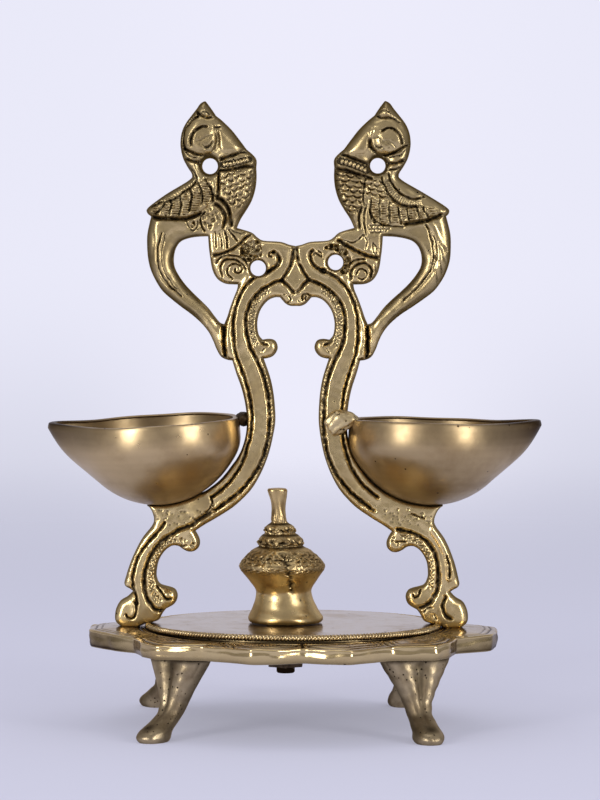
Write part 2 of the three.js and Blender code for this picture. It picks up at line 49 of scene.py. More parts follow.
# The base plate is a cast brass disc with ten shallow petals, turned smooth and lacquered on top.
# Its petals slope away from the disc, are chased with lines along their edges, and a twisted rope
# ring covers the step between disc and petals. Underneath it is hollowed and holds the legs.

def mesh_from(name, points, quads, recess=None):
    """A closed mesh from points in millimetres and four-cornered faces, its doubles merged."""
    quads = np.asarray(quads, np.int32)
    mesh = bpy.data.meshes.new(name)
    mesh.vertices.add(len(points))
    mesh.vertices.foreach_set("co", (np.asarray(points, np.float64) * MM).astype(np.float32).ravel())
    mesh.loops.add(quads.size)
    mesh.loops.foreach_set("vertex_index", quads.ravel())
    mesh.polygons.add(len(quads))
    mesh.polygons.foreach_set("loop_start", np.arange(0, quads.size, 4, dtype=np.int32))
    layer = mesh.attributes.new("recess", "FLOAT", "POINT")
    if recess is not None:
        layer.data.foreach_set("value", np.asarray(recess, np.float32).ravel())
    mesh.update(calc_edges=True)
    work = bmesh.new()
    work.from_mesh(mesh)
    bmesh.ops.remove_doubles(work, verts=work.verts, dist=2e-6)
    bmesh.ops.dissolve_degenerate(work, edges=work.edges, dist=1e-7)
    bmesh.ops.recalc_face_normals(work, faces=work.faces)
    work.to_mesh(mesh)
    work.free()
    return mesh


def piece_from(name, mesh, material, crease=38):
    """Puts a mesh in the scene as a smooth-shaded piece with its material."""
    mesh.polygons.foreach_set("use_smooth", np.ones(len(mesh.polygons), bool))
    mesh.set_sharp_from_angle(angle=math.radians(crease))
    mesh.materials.clear()
    mesh.materials.append(material)
    piece = bpy.data.objects.new(name, mesh)
    bpy.context.scene.collection.objects.link(piece)
    return piece


def ring_quads(rows, around, first=0):
    """Faces between neighbouring rows of points that each run once round."""
    row, col = np.meshgrid(np.arange(rows - 1), np.arange(around), indexing="ij")
    after = (col + 1) % around
    corners = [row * around + col, row * around + after,
               (row + 1) * around + after, (row + 1) * around + col]
    return np.stack(corners, -1).reshape(-1, 4) + first


def new_node(tree, kind, **settings):
    node = tree.nodes.new(kind)
    for name, value in settings.items():
        setattr(node, name, value)
    return node


def give(tree, socket, value):
    """Feeds a socket from another socket, or sets it to a plain value."""
    if isinstance(value, bpy.types.NodeSocket):
        tree.links.new(value, socket)
    else:
        socket.default_value = value


def maths(tree, operation, first, second=0.0, clamp=False):
    """A Math node on two sockets or numbers, and its output."""
    node = new_node(tree, "ShaderNodeMath", operation=operation, use_clamp=clamp)
    give(tree, node.inputs[0], first)
    give(tree, node.inputs[1], second)
    return node.outputs[0]


def blended(tree, factor, first, second):
    """A colour between two colours, by a factor socket."""
    node = new_node(tree, "ShaderNodeMix", data_type="RGBA")
    tree.links.new(factor, node.inputs[0])
    give(tree, node.inputs[6], first)
    give(tree, node.inputs[7], second)
    return node.outputs[2]


def ranged(tree, value, low, high, to_low=0.0, to_high=1.0):
    """A value carried smoothly from one range to another."""
    node = new_node(tree, "ShaderNodeMapRange", interpolation_type="SMOOTHSTEP")
    tree.links.new(value, node.inputs["Value"])
    node.inputs["From Min"].default_value = low
    node.inputs["From Max"].default_value = high
    node.inputs["To Min"].default_value = to_low
    node.inputs["To Max"].default_value = to_high
    return node.outputs["Result"]


def make_patina_group():
    """Old brass: polished metal, tarnish in patches, black grime in pits, black grime and painted shade
    where the recess says, fine grain.
    """
    tree = bpy.data.node_groups.new("old_brass_patina", "ShaderNodeTree")
    wanted = [
        ("Point", "NodeSocketVector", None), ("Recess", "NodeSocketFloat", 0.0),
        ("Polished", "NodeSocketColor", None), ("Tarnished", "NodeSocketColor", None),
        ("Grime And Shade", "NodeSocketColor", None), ("Patch Scale", "NodeSocketFloat", 60.0),
        ("Patch Share", "NodeSocketFloat", 0.5), ("Grain Scale", "NodeSocketFloat", 900.0),
        ("Grain Depth", "NodeSocketFloat", 0.3), ("Pit Scale", "NodeSocketFloat", 260.0),
        ("Pit Size", "NodeSocketFloat", 0.12), ("Pit Share", "NodeSocketFloat", 0.3),
        ("Smooth", "NodeSocketFloat", 0.2), ("Dull", "NodeSocketFloat", 0.5),
    ]
    for name, kind, value in wanted:
        socket = tree.interface.new_socket(name=name, in_out="INPUT", socket_type=kind)
        if value is not None:
            socket.default_value = value
    for name, kind in [("Colour", "NodeSocketColor"), ("Roughness", "NodeSocketFloat"),
                       ("Height", "NodeSocketFloat")]:
        tree.interface.new_socket(name=name, in_out="OUTPUT", socket_type=kind)
    given = new_node(tree, "NodeGroupInput").outputs
    out = new_node(tree, "NodeGroupOutput").inputs

    def noise(scale, detail, rough=0.55):
        node = new_node(tree, "ShaderNodeTexNoise")
        tree.links.new(given["Point"], node.inputs["Vector"])
        tree.links.new(scale, node.inputs["Scale"])
        node.inputs["Detail"].default_value = detail
        node.inputs["Roughness"].default_value = rough
        return node.outputs["Fac"]

    patch = ranged(tree, noise(given["Patch Scale"], 6.0, 0.62), 0.42, 0.66)
    patch = maths(tree, "MULTIPLY", patch, given["Patch Share"], clamp=True)
    grain = noise(given["Grain Scale"], 4.0)
    cells = new_node(tree, "ShaderNodeTexVoronoi")
    tree.links.new(given["Point"], cells.inputs["Vector"])
    tree.links.new(given["Pit Scale"], cells.inputs["Scale"])
    near = maths(tree, "DIVIDE", cells.outputs["Distance"], given["Pit Size"])
    pit = ranged(tree, near, 0.55, 1.0, 1.0, 0.0)
    chosen = new_node(tree, "ShaderNodeSeparateColor")
    tree.links.new(cells.outputs["Color"], chosen.inputs[0])
    kept = maths(tree, "LESS_THAN", chosen.outputs[0], given["Pit Share"])
    pit = maths(tree, "MULTIPLY", pit, kept)
    dirt_and_shade = maths(tree, "MULTIPLY", given["Recess"], ranged(tree, grain, 0.15, 0.45, 0.8, 1.05))
    dirt_and_shade = maths(tree, "ADD", dirt_and_shade, maths(tree, "MULTIPLY", pit, 0.85), clamp=True)
    colour = blended(tree, patch, given["Polished"], given["Tarnished"])
    colour = blended(tree, dirt_and_shade, colour, given["Grime And Shade"])
    tree.links.new(colour, out["Colour"])
    worn = maths(tree, "ADD", maths(tree, "MULTIPLY", patch, 0.7), dirt_and_shade, clamp=True)
    span = maths(tree, "SUBTRACT", given["Dull"], given["Smooth"])
    rough = maths(tree, "ADD", given["Smooth"], maths(tree, "MULTIPLY", span, worn))
    rough = maths(tree, "ADD", rough, ranged(tree, grain, 0.3, 0.7, -0.03, 0.05))
    tree.links.new(rough, out["Roughness"])
    height = maths(tree, "SUBTRACT", maths(tree, "MULTIPLY", grain, given["Grain Depth"]), pit)
    tree.links.new(height, out["Height"])
    return tree


patina = make_patina_group()


def brass_material(name, polished, tarnished, grime_and_shade, bump=0.00012, edge_on=(1.0, 1.0, 1.0), **values):
    """Brass with its own patina values; the piece's recess attribute says where grime and painted shade
    lie.
    """
    material = bpy.data.materials.new(name)
    material.use_nodes = True
    tree = material.node_tree
    shader = tree.nodes["Principled BSDF"]
    shader.inputs["Metallic"].default_value = 1.0
    # The specular tint sets the colour of reflections seen edge-on; below white it is painted shade on
    # the edges
    shader.inputs["Specular Tint"].default_value = (*edge_on, 1)
    group = new_node(tree, "ShaderNodeGroup", node_tree=patina)
    point = new_node(tree, "ShaderNodeTexCoord")
    recess = new_node(tree, "ShaderNodeAttribute", attribute_name="recess")
    relief = new_node(tree, "ShaderNodeBump")
    relief.inputs["Distance"].default_value = bump
    tree.links.new(point.outputs["Object"], group.inputs["Point"])
    tree.links.new(recess.outputs["Fac"], group.inputs["Recess"])
    for socket, colour in (("Polished", polished), ("Tarnished", tarnished), ("Grime And Shade", grime_and_shade)):
        group.inputs[socket].default_value = (*colour, 1)
    for socket, value in values.items():
        group.inputs[socket.replace("_", " ").title()].default_value = value
    tree.links.new(group.outputs["Colour"], shader.inputs["Base Color"])
    tree.links.new(group.outputs["Roughness"], shader.inputs["Roughness"])
    tree.links.new(group.outputs["Height"], relief.inputs["Height"])
    tree.links.new(relief.outputs["Normal"], shader.inputs["Normal"])
    return material


disc_radius = 48.8
disc_flat_radius = 46.2
plate_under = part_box("base_plate")[0].z / MM
plate_height = 7.5
disc_top = plate_under + plate_height
disc_tilt = 0.0125
petal_notch_radius = 53.5
petal_tip_radius = 67.0
# Degrees from the front, and how far out from the notch radius to the tip radius
petal_edge = np.array([
    [-84, 1], [-71, 0.56], [-62.5, 0.24], [-52, 0.48], [-43.6, 0.63], [-29.6, 0.11], [-17, 0.21],
    [-10.8, 0.47], [-3.6, 0.3], [5.3, 0.02], [12, 0.29], [19.3, 0.56], [36, 0.23], [47, 0.82],
    [53.5, 0.76], [65, 0.41], [76, 1], [86, 1.02],
])
seams_at_ring = np.array([-61.0, -26.0, 5.3, 36.6, 66.0])
seams_at_edge = np.array([-62.5, -17.0, 5.3, 36.0, 65.0])
rim_fall = 3.0
side_rim_fall = 1.8
disc_step = 1.9
side_disc_step = 1.2
petal_edge_round = 0.45
petal_wear_back = 0.25
petal_swell = 0.3
under_curve = 0.6
stud_boss_x = -2.4
stud_boss_radius = 8.5
stud_hole_radius = 3.3

# Each petal has a chased loop, a second line inside it and a vein, and a seam parts it from the next
loop_from_edge = 2.2
loop_from_seam = 1.9
loop_from_disc = 1.0
loop_spacing = 1.9
outer_line_width, outer_line_depth = 0.33, 0.32
inner_line_width, inner_line_depth = 0.26, 0.2
vein_width, vein_depth = 0.3, 0.16
seam_width, seam_depth = 0.42, 0.5


def petal_reach(angle):
    """How far the petal edge lies from the middle, in straight stretches from corner to corner."""
    turn = np.concatenate([petal_edge[:, 0], petal_edge[:, 0] + 180, petal_edge[:1, 0] + 360])
    out = petal_notch_radius + (petal_tip_radius - petal_notch_radius) * petal_edge[:, 1]
    out = np.concatenate([out, out, out[:1]])
    from_front = np.mod(np.degrees(angle) + 90 - turn[0], 360) + turn[0]
    k = np.clip(np.searchsorted(turn, from_front, side="right") - 1, 0, len(turn) - 2)
    before, after = np.radians(from_front - turn[k]), np.radians(turn[k + 1] - from_front)
    one_over = (np.sin(after) / out[k] + np.sin(before) / out[k + 1]) / np.sin(before + after)
    return 1 / one_over


def rounded(values, kernel):
    """Values round a closed ring, softened with a kernel."""
    half = len(kernel) // 2
    return np.convolve(np.concatenate([values[-half:], values, values[:half]]), kernel, mode="valid")


def softener(length):
    """A kernel that softens over this many points."""
    window = np.hanning(length)
    return window / window.sum()


def seam_place(angle, share):
    """How far a direction is across its petal, minus one to one, and that petal's width in radians."""
    seams = seams_at_ring + (seams_at_edge - seams_at_ring) * share
    seams = np.concatenate([seams, seams + 180, seams[:1] + 360])
    from_front = np.mod(np.degrees(angle) + 90 - seams[0], 360) + seams[0]
    k = np.clip(np.searchsorted(seams, from_front, side="right") - 1, 0, len(seams) - 2)
    wide = seams[k + 1] - seams[k]
    return 2 * (from_front - seams[k]) / wide - 1, np.radians(wide)


def bump_at(distance, width):
    """A soft line: one on the line and nothing past its width."""
    return np.exp(-((distance / width) ** 2))


def plate_rows():
    """Rows of points from the middle of the top, over the edge, to the middle of the underside."""
    around = 720
    angle = 2 * np.pi * np.arange(around) / around
    wear = 0.1 * np.sin(23 * angle + 1.0) + 0.07 * np.sin(41 * angle + 2.0) + 0.03 * np.sin(73 * angle)
    reach = rounded(petal_reach(angle), softener(11)) + wear - petal_wear_back
    # One at the left and right ends of the plate, and nothing at the front and back
    side = np.abs(np.cos(angle)) ** 8
    fall = rim_fall + (side_rim_fall - rim_fall) * side + 0.12 * np.sin(5 * angle + 1)
    step_down = disc_step + (side_disc_step - disc_step) * side
    lift = disc_tilt * reach * np.clip(-np.sin(angle), 0, 1)
    rows, recess = [], []

    def add(radius, height, dirt_and_shade, shift=0.0, tilt=0.0):
        y = radius * np.sin(angle)
        rows.append(np.stack([radius * np.cos(angle) + shift, y, height - tilt * y], -1))
        recess.append(dirt_and_shade * np.ones(around))

    for radius in np.linspace(0, disc_flat_radius, 16):
        ripple = 0.02 * np.sin(radius * 1.7) * (radius > 4)
        add(radius, disc_top + ripple, 0, tilt=disc_tilt)
    for radius in (46.4, 47.6, disc_radius):
        add(radius, disc_top - step_down, 0.95, tilt=disc_tilt)
    steps = 60
    for step in range(steps + 1):
        share = step / steps
        radius = disc_radius + (reach - petal_edge_round - disc_radius) * share
        off, wide = seam_place(angle, share)
        to_edge = reach - radius
        to_seam = (1 - np.abs(off)) * radius * wide / 2
        base = disc_top - step_down - (fall - lift - step_down) * share
        loop = np.minimum(to_edge - loop_from_edge, to_seam - loop_from_seam)
        loop = np.where(share < 0.25, np.minimum(loop, (radius - disc_radius) - loop_from_disc), loop)
        outer = bump_at(loop, outer_line_width)
        inner = 0.8 * bump_at(loop - loop_spacing, inner_line_width) * (np.abs(off) < 0.75)
        vein = bump_at(off * radius * wide / 2, vein_width) * (share < 0.6)
        seam = bump_at(to_seam, seam_width)
        unevenness = 0.1 * np.sin(7 * angle + 9 * share)
        swell = petal_swell * np.sin(np.pi * share) * (1 - off**2) + unevenness
        cut = outer_line_depth * outer + inner_line_depth * inner + vein_depth * vein + seam_depth * seam
        shadow = np.maximum.reduce([outer, inner, 0.7 * vein, seam])
        stain = 0.16 + 0.12 * np.sin(5 * angle) * np.sin(3 * share + 2 * angle)
        dirt_and_shade = np.clip(0.9 * shadow + stain, 0, 1)
        add(radius, base + swell - cut, dirt_and_shade, tilt=disc_tilt * (1 - share))
    rim_top = disc_top - fall + lift
    rim_foot = plate_under + 0.7 * lift
    wave = 0.1 * np.sin(17 * angle) + 0.08 * np.sin(29 * angle + 1) + 0.03 * np.sin(61 * angle)
    for turn in np.linspace(0, np.pi / 2, 6)[1:]:
        inward = petal_edge_round * (1 - np.sin(turn))
        down = petal_edge_round * (1 - np.cos(turn))
        add(reach - inward, rim_top - down + wave, 0.05)
    low_edge = rim_foot + under_curve
    rough = np.random.default_rng(5)
    dents = [rounded(rough.normal(0, 0.5, around), softener(23)) for _ in range(4)]
    for share in np.linspace(0, 1, 13)[1:]:
        height = rim_top - petal_edge_round + (low_edge - rim_top + petal_edge_round) * share
        at = min(2.999, 3 * share)
        dent = dents[int(at)] * (1 - at % 1) + dents[int(at) + 1] * (at % 1)
        dent = dent + 0.07 * np.sin(19 * angle + 4 * share) * np.sin(7 * angle - 3 * share)
        belly = 0.4 * np.sin(np.pi * share) - 0.4 + 0.4 * (1 - share) ** 6
        # Painted shade: the rim face is darker at the plate's left and right ends, in its dents there,
        # and towards its foot
        dirt_and_shade = np.clip(0.1 + 0.8 * np.abs(dent) * side + 0.4 * share**4 + 0.5 * side, 0, 1)
        add(reach + belly + dent * np.sin(np.pi * share), height + wave * (1 - share), dirt_and_shade)
    add(reach - under_curve, rim_foot + 0.15, 0.5)
    add(reach - 2 * under_curve, rim_foot, 0.6)
    # The underside, inwards: radius and height over its lowest face, then the same round the stud
    for radius, height in ((46, 0), (33.4, 0), (33, 0.5), (32.6, 2.6), (14, 2.6)):
        add(radius, plate_under + height, 0.7)
    for radius, height in ((9.3, 2.6), (stud_boss_radius, 2.2), (8.2, 0.5), (stud_hole_radius, 0.5)):
        add(radius, plate_under + height, 0.7, stud_boss_x)
    for radius in (stud_hole_radius, 0.0):
        add(radius, disc_top - 1.0, 0.7, stud_boss_x)
    return np.concatenate(rows), len(rows), around, np.concatenate(recess)


# The plate's edge_on tint is painted shade and a painted lavender reflection on surfaces seen edge-on
plate_brass = brass_material(
    "plate_brass", (0.76, 0.59, 0.31), (0.50, 0.35, 0.17), (0.035, 0.02, 0.009),
    bump=0.00012, edge_on=(0.66, 0.65, 0.69), patch_scale=50.0, patch_share=0.5, grain_scale=300.0,
    grain_depth=0.1, pit_scale=230.0, pit_size=0.15, pit_share=0.22, smooth=0.12, dull=0.34,
)
points, count, around, recess = plate_rows()
plate_mesh = mesh_from("petal_plate", points, ring_quads(count, around), recess)
plate = piece_from("petal_plate", plate_mesh, plate_brass, crease=32)
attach(plate, "root")
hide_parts("base_plate")


# The rope ring is two round brass wires twisted together and bent into a hoop. It lies on the step
# round the disc, a little higher at the front than at the back, and is soldered down.

rope_ring_radius = 47.3
rope_strand_radius = 0.55
rope_turns = 128
points_in_a_turn = 14
rope_drop = 0.75
rope_tilt = 0.022


def geometry_tree(name, inputs):
    """An empty Geometry Nodes tree with named inputs, its input and its output node."""
    tree = bpy.data.node_groups.new(name, "GeometryNodeTree")
    for label, kind in inputs:
        tree.interface.new_socket(name=label, in_out="INPUT", socket_type=kind)
    tree.interface.new_socket(name="Geometry", in_out="OUTPUT", socket_type="NodeSocketGeometry")
    return tree, new_node(tree, "NodeGroupInput").outputs, new_node(tree, "NodeGroupOutput").inputs


def grown(name, tree, values, material):
    """Runs a Geometry Nodes tree with its named values and returns the result as a plain piece."""
    holder = bpy.data.objects.new(name + "_tree", bpy.data.meshes.new(name + "_tree"))
    bpy.context.scene.collection.objects.link(holder)
    modifier = holder.modifiers.new("nodes", "NODES")
    modifier.node_group = tree
    for item in tree.interface.items_tree:
        if item.item_type == "SOCKET" and item.in_out == "INPUT":
            modifier[item.identifier] = values[item.name]
    bpy.context.view_layer.update()
    mesh = bpy.data.meshes.new_from_object(holder.evaluated_get(bpy.context.evaluated_depsgraph_get()))
    holder.modifiers.remove(modifier)
    bpy.data.objects.remove(holder)
    work = bmesh.new()
    work.from_mesh(mesh)
    bmesh.ops.remove_doubles(work, verts=work.verts, dist=1e-6)
    bmesh.ops.recalc_face_normals(work, faces=work.faces)
    work.to_mesh(mesh)
    work.free()
    mesh.name = name
    return piece_from(name, mesh, material, crease=50)


def rope_tree():
    """Two strands wound round a circle."""
    tree, given, out = geometry_tree("rope_ring", [
        ("Ring Radius", "NodeSocketFloat"), ("Strand Radius", "NodeSocketFloat"),
        ("Turns", "NodeSocketFloat"), ("Height", "NodeSocketFloat"), ("Tilt", "NodeSocketFloat"),
        ("Finish", "NodeSocketMaterial"),
    ])
    both = new_node(tree, "GeometryNodeJoinGeometry")
    for phase in (0.0, math.pi):
        circle = new_node(tree, "GeometryNodeCurvePrimitiveCircle", mode="RADIUS")
        circle.inputs["Resolution"].default_value = rope_turns * points_in_a_turn
        tree.links.new(given["Ring Radius"], circle.inputs["Radius"])
        share = new_node(tree, "GeometryNodeSplineParameter").outputs["Factor"]
        turn = maths(tree, "MULTIPLY", maths(tree, "MULTIPLY", share, given["Turns"]), 2 * math.pi)
        turn = maths(tree, "ADD", turn, phase)
        out_by = maths(tree, "MULTIPLY", maths(tree, "COSINE", turn), given["Strand Radius"])
        up_by = maths(tree, "MULTIPLY", maths(tree, "SINE", turn), given["Strand Radius"])
        place = new_node(tree, "GeometryNodeInputPosition").outputs[0]
        outward = new_node(tree, "ShaderNodeVectorMath", operation="NORMALIZE")
        tree.links.new(place, outward.inputs[0])
        pushed = new_node(tree, "ShaderNodeVectorMath", operation="SCALE")
        tree.links.new(outward.outputs[0], pushed.inputs[0])
        tree.links.new(out_by, pushed.inputs["Scale"])
        apart = new_node(tree, "ShaderNodeSeparateXYZ")
        tree.links.new(place, apart.inputs[0])
        sunk = maths(tree, "MULTIPLY", apart.outputs["Y"], given["Tilt"])
        level = maths(tree, "SUBTRACT", maths(tree, "ADD", up_by, given["Height"]), sunk)
        lifted = new_node(tree, "ShaderNodeCombineXYZ")
        tree.links.new(level, lifted.inputs["Z"])
        summed = new_node(tree, "ShaderNodeVectorMath", operation="ADD")
        tree.links.new(pushed.outputs[0], summed.inputs[0])
        tree.links.new(lifted.outputs[0], summed.inputs[1])
        moved = new_node(tree, "GeometryNodeSetPosition")
        tree.links.new(circle.outputs["Curve"], moved.inputs["Geometry"])
        tree.links.new(summed.outputs[0], moved.inputs["Offset"])
        section = new_node(tree, "GeometryNodeCurvePrimitiveCircle", mode="RADIUS")
        section.inputs["Resolution"].default_value = 8
        tree.links.new(given["Strand Radius"], section.inputs["Radius"])
        tube = new_node(tree, "GeometryNodeCurveToMesh")
        tree.links.new(moved.outputs[0], tube.inputs["Curve"])
        tree.links.new(section.outputs["Curve"], tube.inputs["Profile Curve"])
        tree.links.new(tube.outputs[0], both.inputs[0])
    real = new_node(tree, "GeometryNodeRealizeInstances")
    tree.links.new(both.outputs[0], real.inputs[0])
    finish = new_node(tree, "GeometryNodeSetMaterial")
    tree.links.new(real.outputs[0], finish.inputs["Geometry"])
    tree.links.new(given["Finish"], finish.inputs["Material"])
    tree.links.new(finish.outputs[0], out["Geometry"])
    return tree


rope_brass = brass_material(
    "rope_brass", (0.60, 0.46, 0.25), (0.34, 0.24, 0.12), (0.05, 0.03, 0.012),
    patch_scale=160.0, patch_share=0.9, grain_scale=1200.0, grain_depth=0.3,
    pit_scale=500.0, pit_size=0.2, pit_share=0.3, smooth=0.22, dull=0.5,
)
rope = grown("rope_ring", rope_tree(), {
    "Ring Radius": rope_ring_radius * MM, "Strand Radius": rope_strand_radius * MM,
    "Turns": float(rope_turns), "Height": (disc_top - rope_drop) * MM, "Tilt": rope_tilt,
    "Finish": rope_brass,
}, rope_brass)
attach(rope, "root")


# Four cast brass cabriole legs, each with a pad foot, a thin ankle and two wings that spread up to
# the plate with a groove between them on the outer face. A tenon on each is riveted into the plate.

# The legs' edge_on tint darkens reflections seen edge-on as painted shade
leg_brass = brass_material(
    "leg_brass", (0.48, 0.38, 0.235), (0.28, 0.21, 0.125), (0.035, 0.025, 0.014),
    bump=0.00016, edge_on=(0.5, 0.46, 0.42), patch_scale=110.0, patch_share=0.9,
    grain_scale=420.0, grain_depth=0.7, pit_scale=700.0, pit_size=0.24, pit_share=0.45,
    smooth=0.31, dull=0.56,
)
leg_top = 25.3
ankle_height = 4.6
wing_start = 17.0
# Angles in radians from the outer face: the wing's fullest line and the fold behind it
wing_line = 0.62
side_fold_line = 1.05

# Where each knee stands from the middle of the plate, and the way its foot points in degrees
leg_places = {
    "front_left_leg": (-34.7, -33.0, 233), "front_right_leg": (39.7, -31.7, 290),
    "rear_left_leg": (-41.2, 30.0, 124), "rear_right_leg": (37.8, 31.0, 100),
}

# Height, how far forward of the knee, half depth and half width of the leg, and depth of its groove
leg_stations = np.array([
    [0.0, 12.9, 5.2, 3.9, 0.0], [0.7, 13.0, 6.0, 4.7, 0.0], [1.9, 13.0, 6.2, 4.9, 0.05],
    [3.4, 12.0, 5.9, 4.6, 0.05], [5.4, 8.6, 5.1, 4.2, 0.15], [8.2, 4.6, 4.3, 3.9, 0.35],
    [11.5, 2.8, 4.3, 4.7, 0.55], [15.2, 1.9, 4.6, 6.3, 0.8], [19.5, 1.0, 5.0, 8.7, 1.0],
    [23.2, 0.3, 5.4, 10.9, 1.0], [25.3, 0.0, 5.6, 11.9, 0.9],
])


def angle_gap(angle):
    """The angle measured from the leg's outer face, either way round."""
    return np.minimum(angle, 2 * np.pi - angle)


def leg_mesh(name, place, seed):
    """A leg lofted through its stations, then turned and moved to its place under the plate."""
    rows, around = 90, 96
    height = np.concatenate([[0, 0], np.linspace(0, leg_top, rows - 4), [leg_top, leg_top]])
    angle = 2 * np.pi * np.arange(around) / around
    shape = [np.interp(height, leg_stations[:, 0], leg_stations[:, k]) for k in range(1, 5)]
    kernel = np.array([1, 2, 3, 4, 3, 2, 1]) / 16
    for k in range(4):
        inner = np.convolve(np.pad(shape[k], 3, mode="edge"), kernel, mode="valid")
        shape[k][4:-4] = inner[4:-4]
    forward, depth, width, groove = (s[:, None] for s in shape)
    cosine, sine = np.cos(angle)[None, :], np.sin(angle)[None, :]
    up = height[:, None]
    gap = angle_gap(angle)[None, :]
    spread = 0.13 + 0.05 * np.clip((up - 8) / 17, 0, 1)
    fold = groove * bump_at(gap, spread)
    lobe = 0.7 * np.clip(groove, 0, 1.4) * bump_at(gap - wing_line, 0.34)
    wing = np.clip((up - wing_start) / 8, 0, 1)
    side_fold = 0.6 * wing * bump_at(gap - side_fold_line, 0.12)
    out = (depth - fold + lobe - side_fold) * cosine
    across = width * np.sign(sine) * np.abs(sine) ** 0.9
    scale = np.ones((rows, 1))
    scale[0] = scale[-1] = 0
    rough = 0.1 * np.sin(up * 1.1 + 5 * angle[None, :] + seed) * np.sin(up * 0.7 - 3 * angle[None, :])
    x = forward + (out + rough) * scale
    y = (across + rough) * scale
    z = np.broadcast_to(up, x.shape)
    knee_x, knee_y, facing = place
    turn = math.radians(facing)
    points = np.stack([knee_x + x * math.cos(turn) - y * math.sin(turn),
                       knee_y + x * math.sin(turn) + y * math.cos(turn), z], -1)
    # Painted shade on the leg's two flanks and in a band under the plate; the leg is also darker in its
    # groove, the side fold and at the front of the ankle
    dirt_and_shade = 0.6 * bump_at(gap, 0.75 * spread) * np.clip(groove / 0.9, 0, 1)
    dirt_and_shade = np.maximum(dirt_and_shade, 0.45 * bump_at(np.abs(sine) - 1, 0.12) * np.ones_like(up))
    dirt_and_shade = np.maximum(dirt_and_shade, 0.6 * bump_at(gap - side_fold_line, 0.1) * wing)
    dirt_and_shade = np.maximum(dirt_and_shade, 0.75 * bump_at(gap, 0.5) * bump_at(up - ankle_height, 1.1))
    dirt_and_shade = np.maximum(dirt_and_shade, np.clip((up - leg_top + 1.4) / 1.4, 0, 1) * 0.8)
    return mesh_from(name, points.reshape(-1, 3), ring_quads(rows, around), np.clip(dirt_and_shade + 0.08, 0, 1))


for number, (name, place) in enumerate(leg_places.items()):
    seed = number * 1.7
    leg = piece_from("cast_" + name, leg_mesh("cast_" + name, place, seed), leg_brass)
    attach(leg, "root")
    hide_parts(name)


# The twin peacock frame is one flat sand casting in brass, filed at the edges and chased on both
# faces. It stands on two scroll feet, screwed up from under the plate, and carries the bowls.

half_thickness = 4.3
most_triangles = 190000
# The casting is worked out on a grid of points this far apart in its own plane
cell = 0.26
grid_across = np.arange(-60.0, 60.0, cell)
grid_up = np.arange(30.6, 205.0, cell)
grid_x, grid_z = np.meshgrid(grid_across, grid_up, indexing="ij")


def curve(points, closed=False, per_span=6):
    """A smooth line through points."""
    knots = np.array(points, float)
    if closed:
        knots = np.vstack([knots[-1], knots, knots[0], knots[1]])
    elif len(knots) == 2:
        return knots
    else:
        knots = np.vstack([2 * knots[0] - knots[1], knots, 2 * knots[-1] - knots[-2]])
    t = np.linspace(0, 1, per_span, endpoint=False)[:, None]
    spans = [
        0.5 * (2 * b + (c - a) * t + (2 * a - 5 * b + 4 * c - d) * t**2
               + (3 * b - a - 3 * c + d) * t**3)
        for a, b, c, d in zip(knots, knots[1:], knots[2:], knots[3:])
    ]
    return np.vstack(spans if closed else [*spans, knots[-2][None]])


def distance_to(line, reach, by_hand=False):
    """How far each grid point lies from a line, up to a reach; a line cut by hand wavers a little."""
    found = np.full(grid_x.shape, reach)
    for (ax, az), (bx, bz) in zip(line, line[1:]):
        i0, i1 = np.searchsorted(grid_across, (min(ax, bx) - reach, max(ax, bx) + reach))
        j0, j1 = np.searchsorted(grid_up, (min(az, bz) - reach, max(az, bz) + reach))
        dx, dz = bx - ax, bz - az
        px, pz = grid_x[i0:i1, j0:j1] - ax, grid_z[i0:i1, j0:j1] - az
        if by_hand:
            px, pz = px + hand_x[i0:i1, j0:j1], pz + hand_z[i0:i1, j0:j1]
        share = np.clip((px * dx + pz * dz) / (dx * dx + dz * dz + 1e-12), 0, 1)
        gap = np.hypot(px - share * dx, pz - share * dz)
        np.minimum(found[i0:i1, j0:j1], gap, out=found[i0:i1, j0:j1])
    return found


def depth_inside(loop, reach=6.0):
    """How deep each grid point lies inside a closed loop, below zero outside it."""
    crossed = np.zeros(grid_x.shape, bool)
    for (ax, az), (bx, bz) in zip(loop, np.roll(loop, -1, axis=0)):
        j0, j1 = np.searchsorted(grid_up, sorted((az, bz)))
        if j0 < j1:
            at = ax + (grid_up[j0:j1] - az) / (bz - az) * (bx - ax)
            crossed[:, j0:j1] ^= grid_x[:, j0:j1] > at
    gap = distance_to(np.vstack([loop, loop[:1]]), reach)
    return np.where(crossed, gap, -gap)


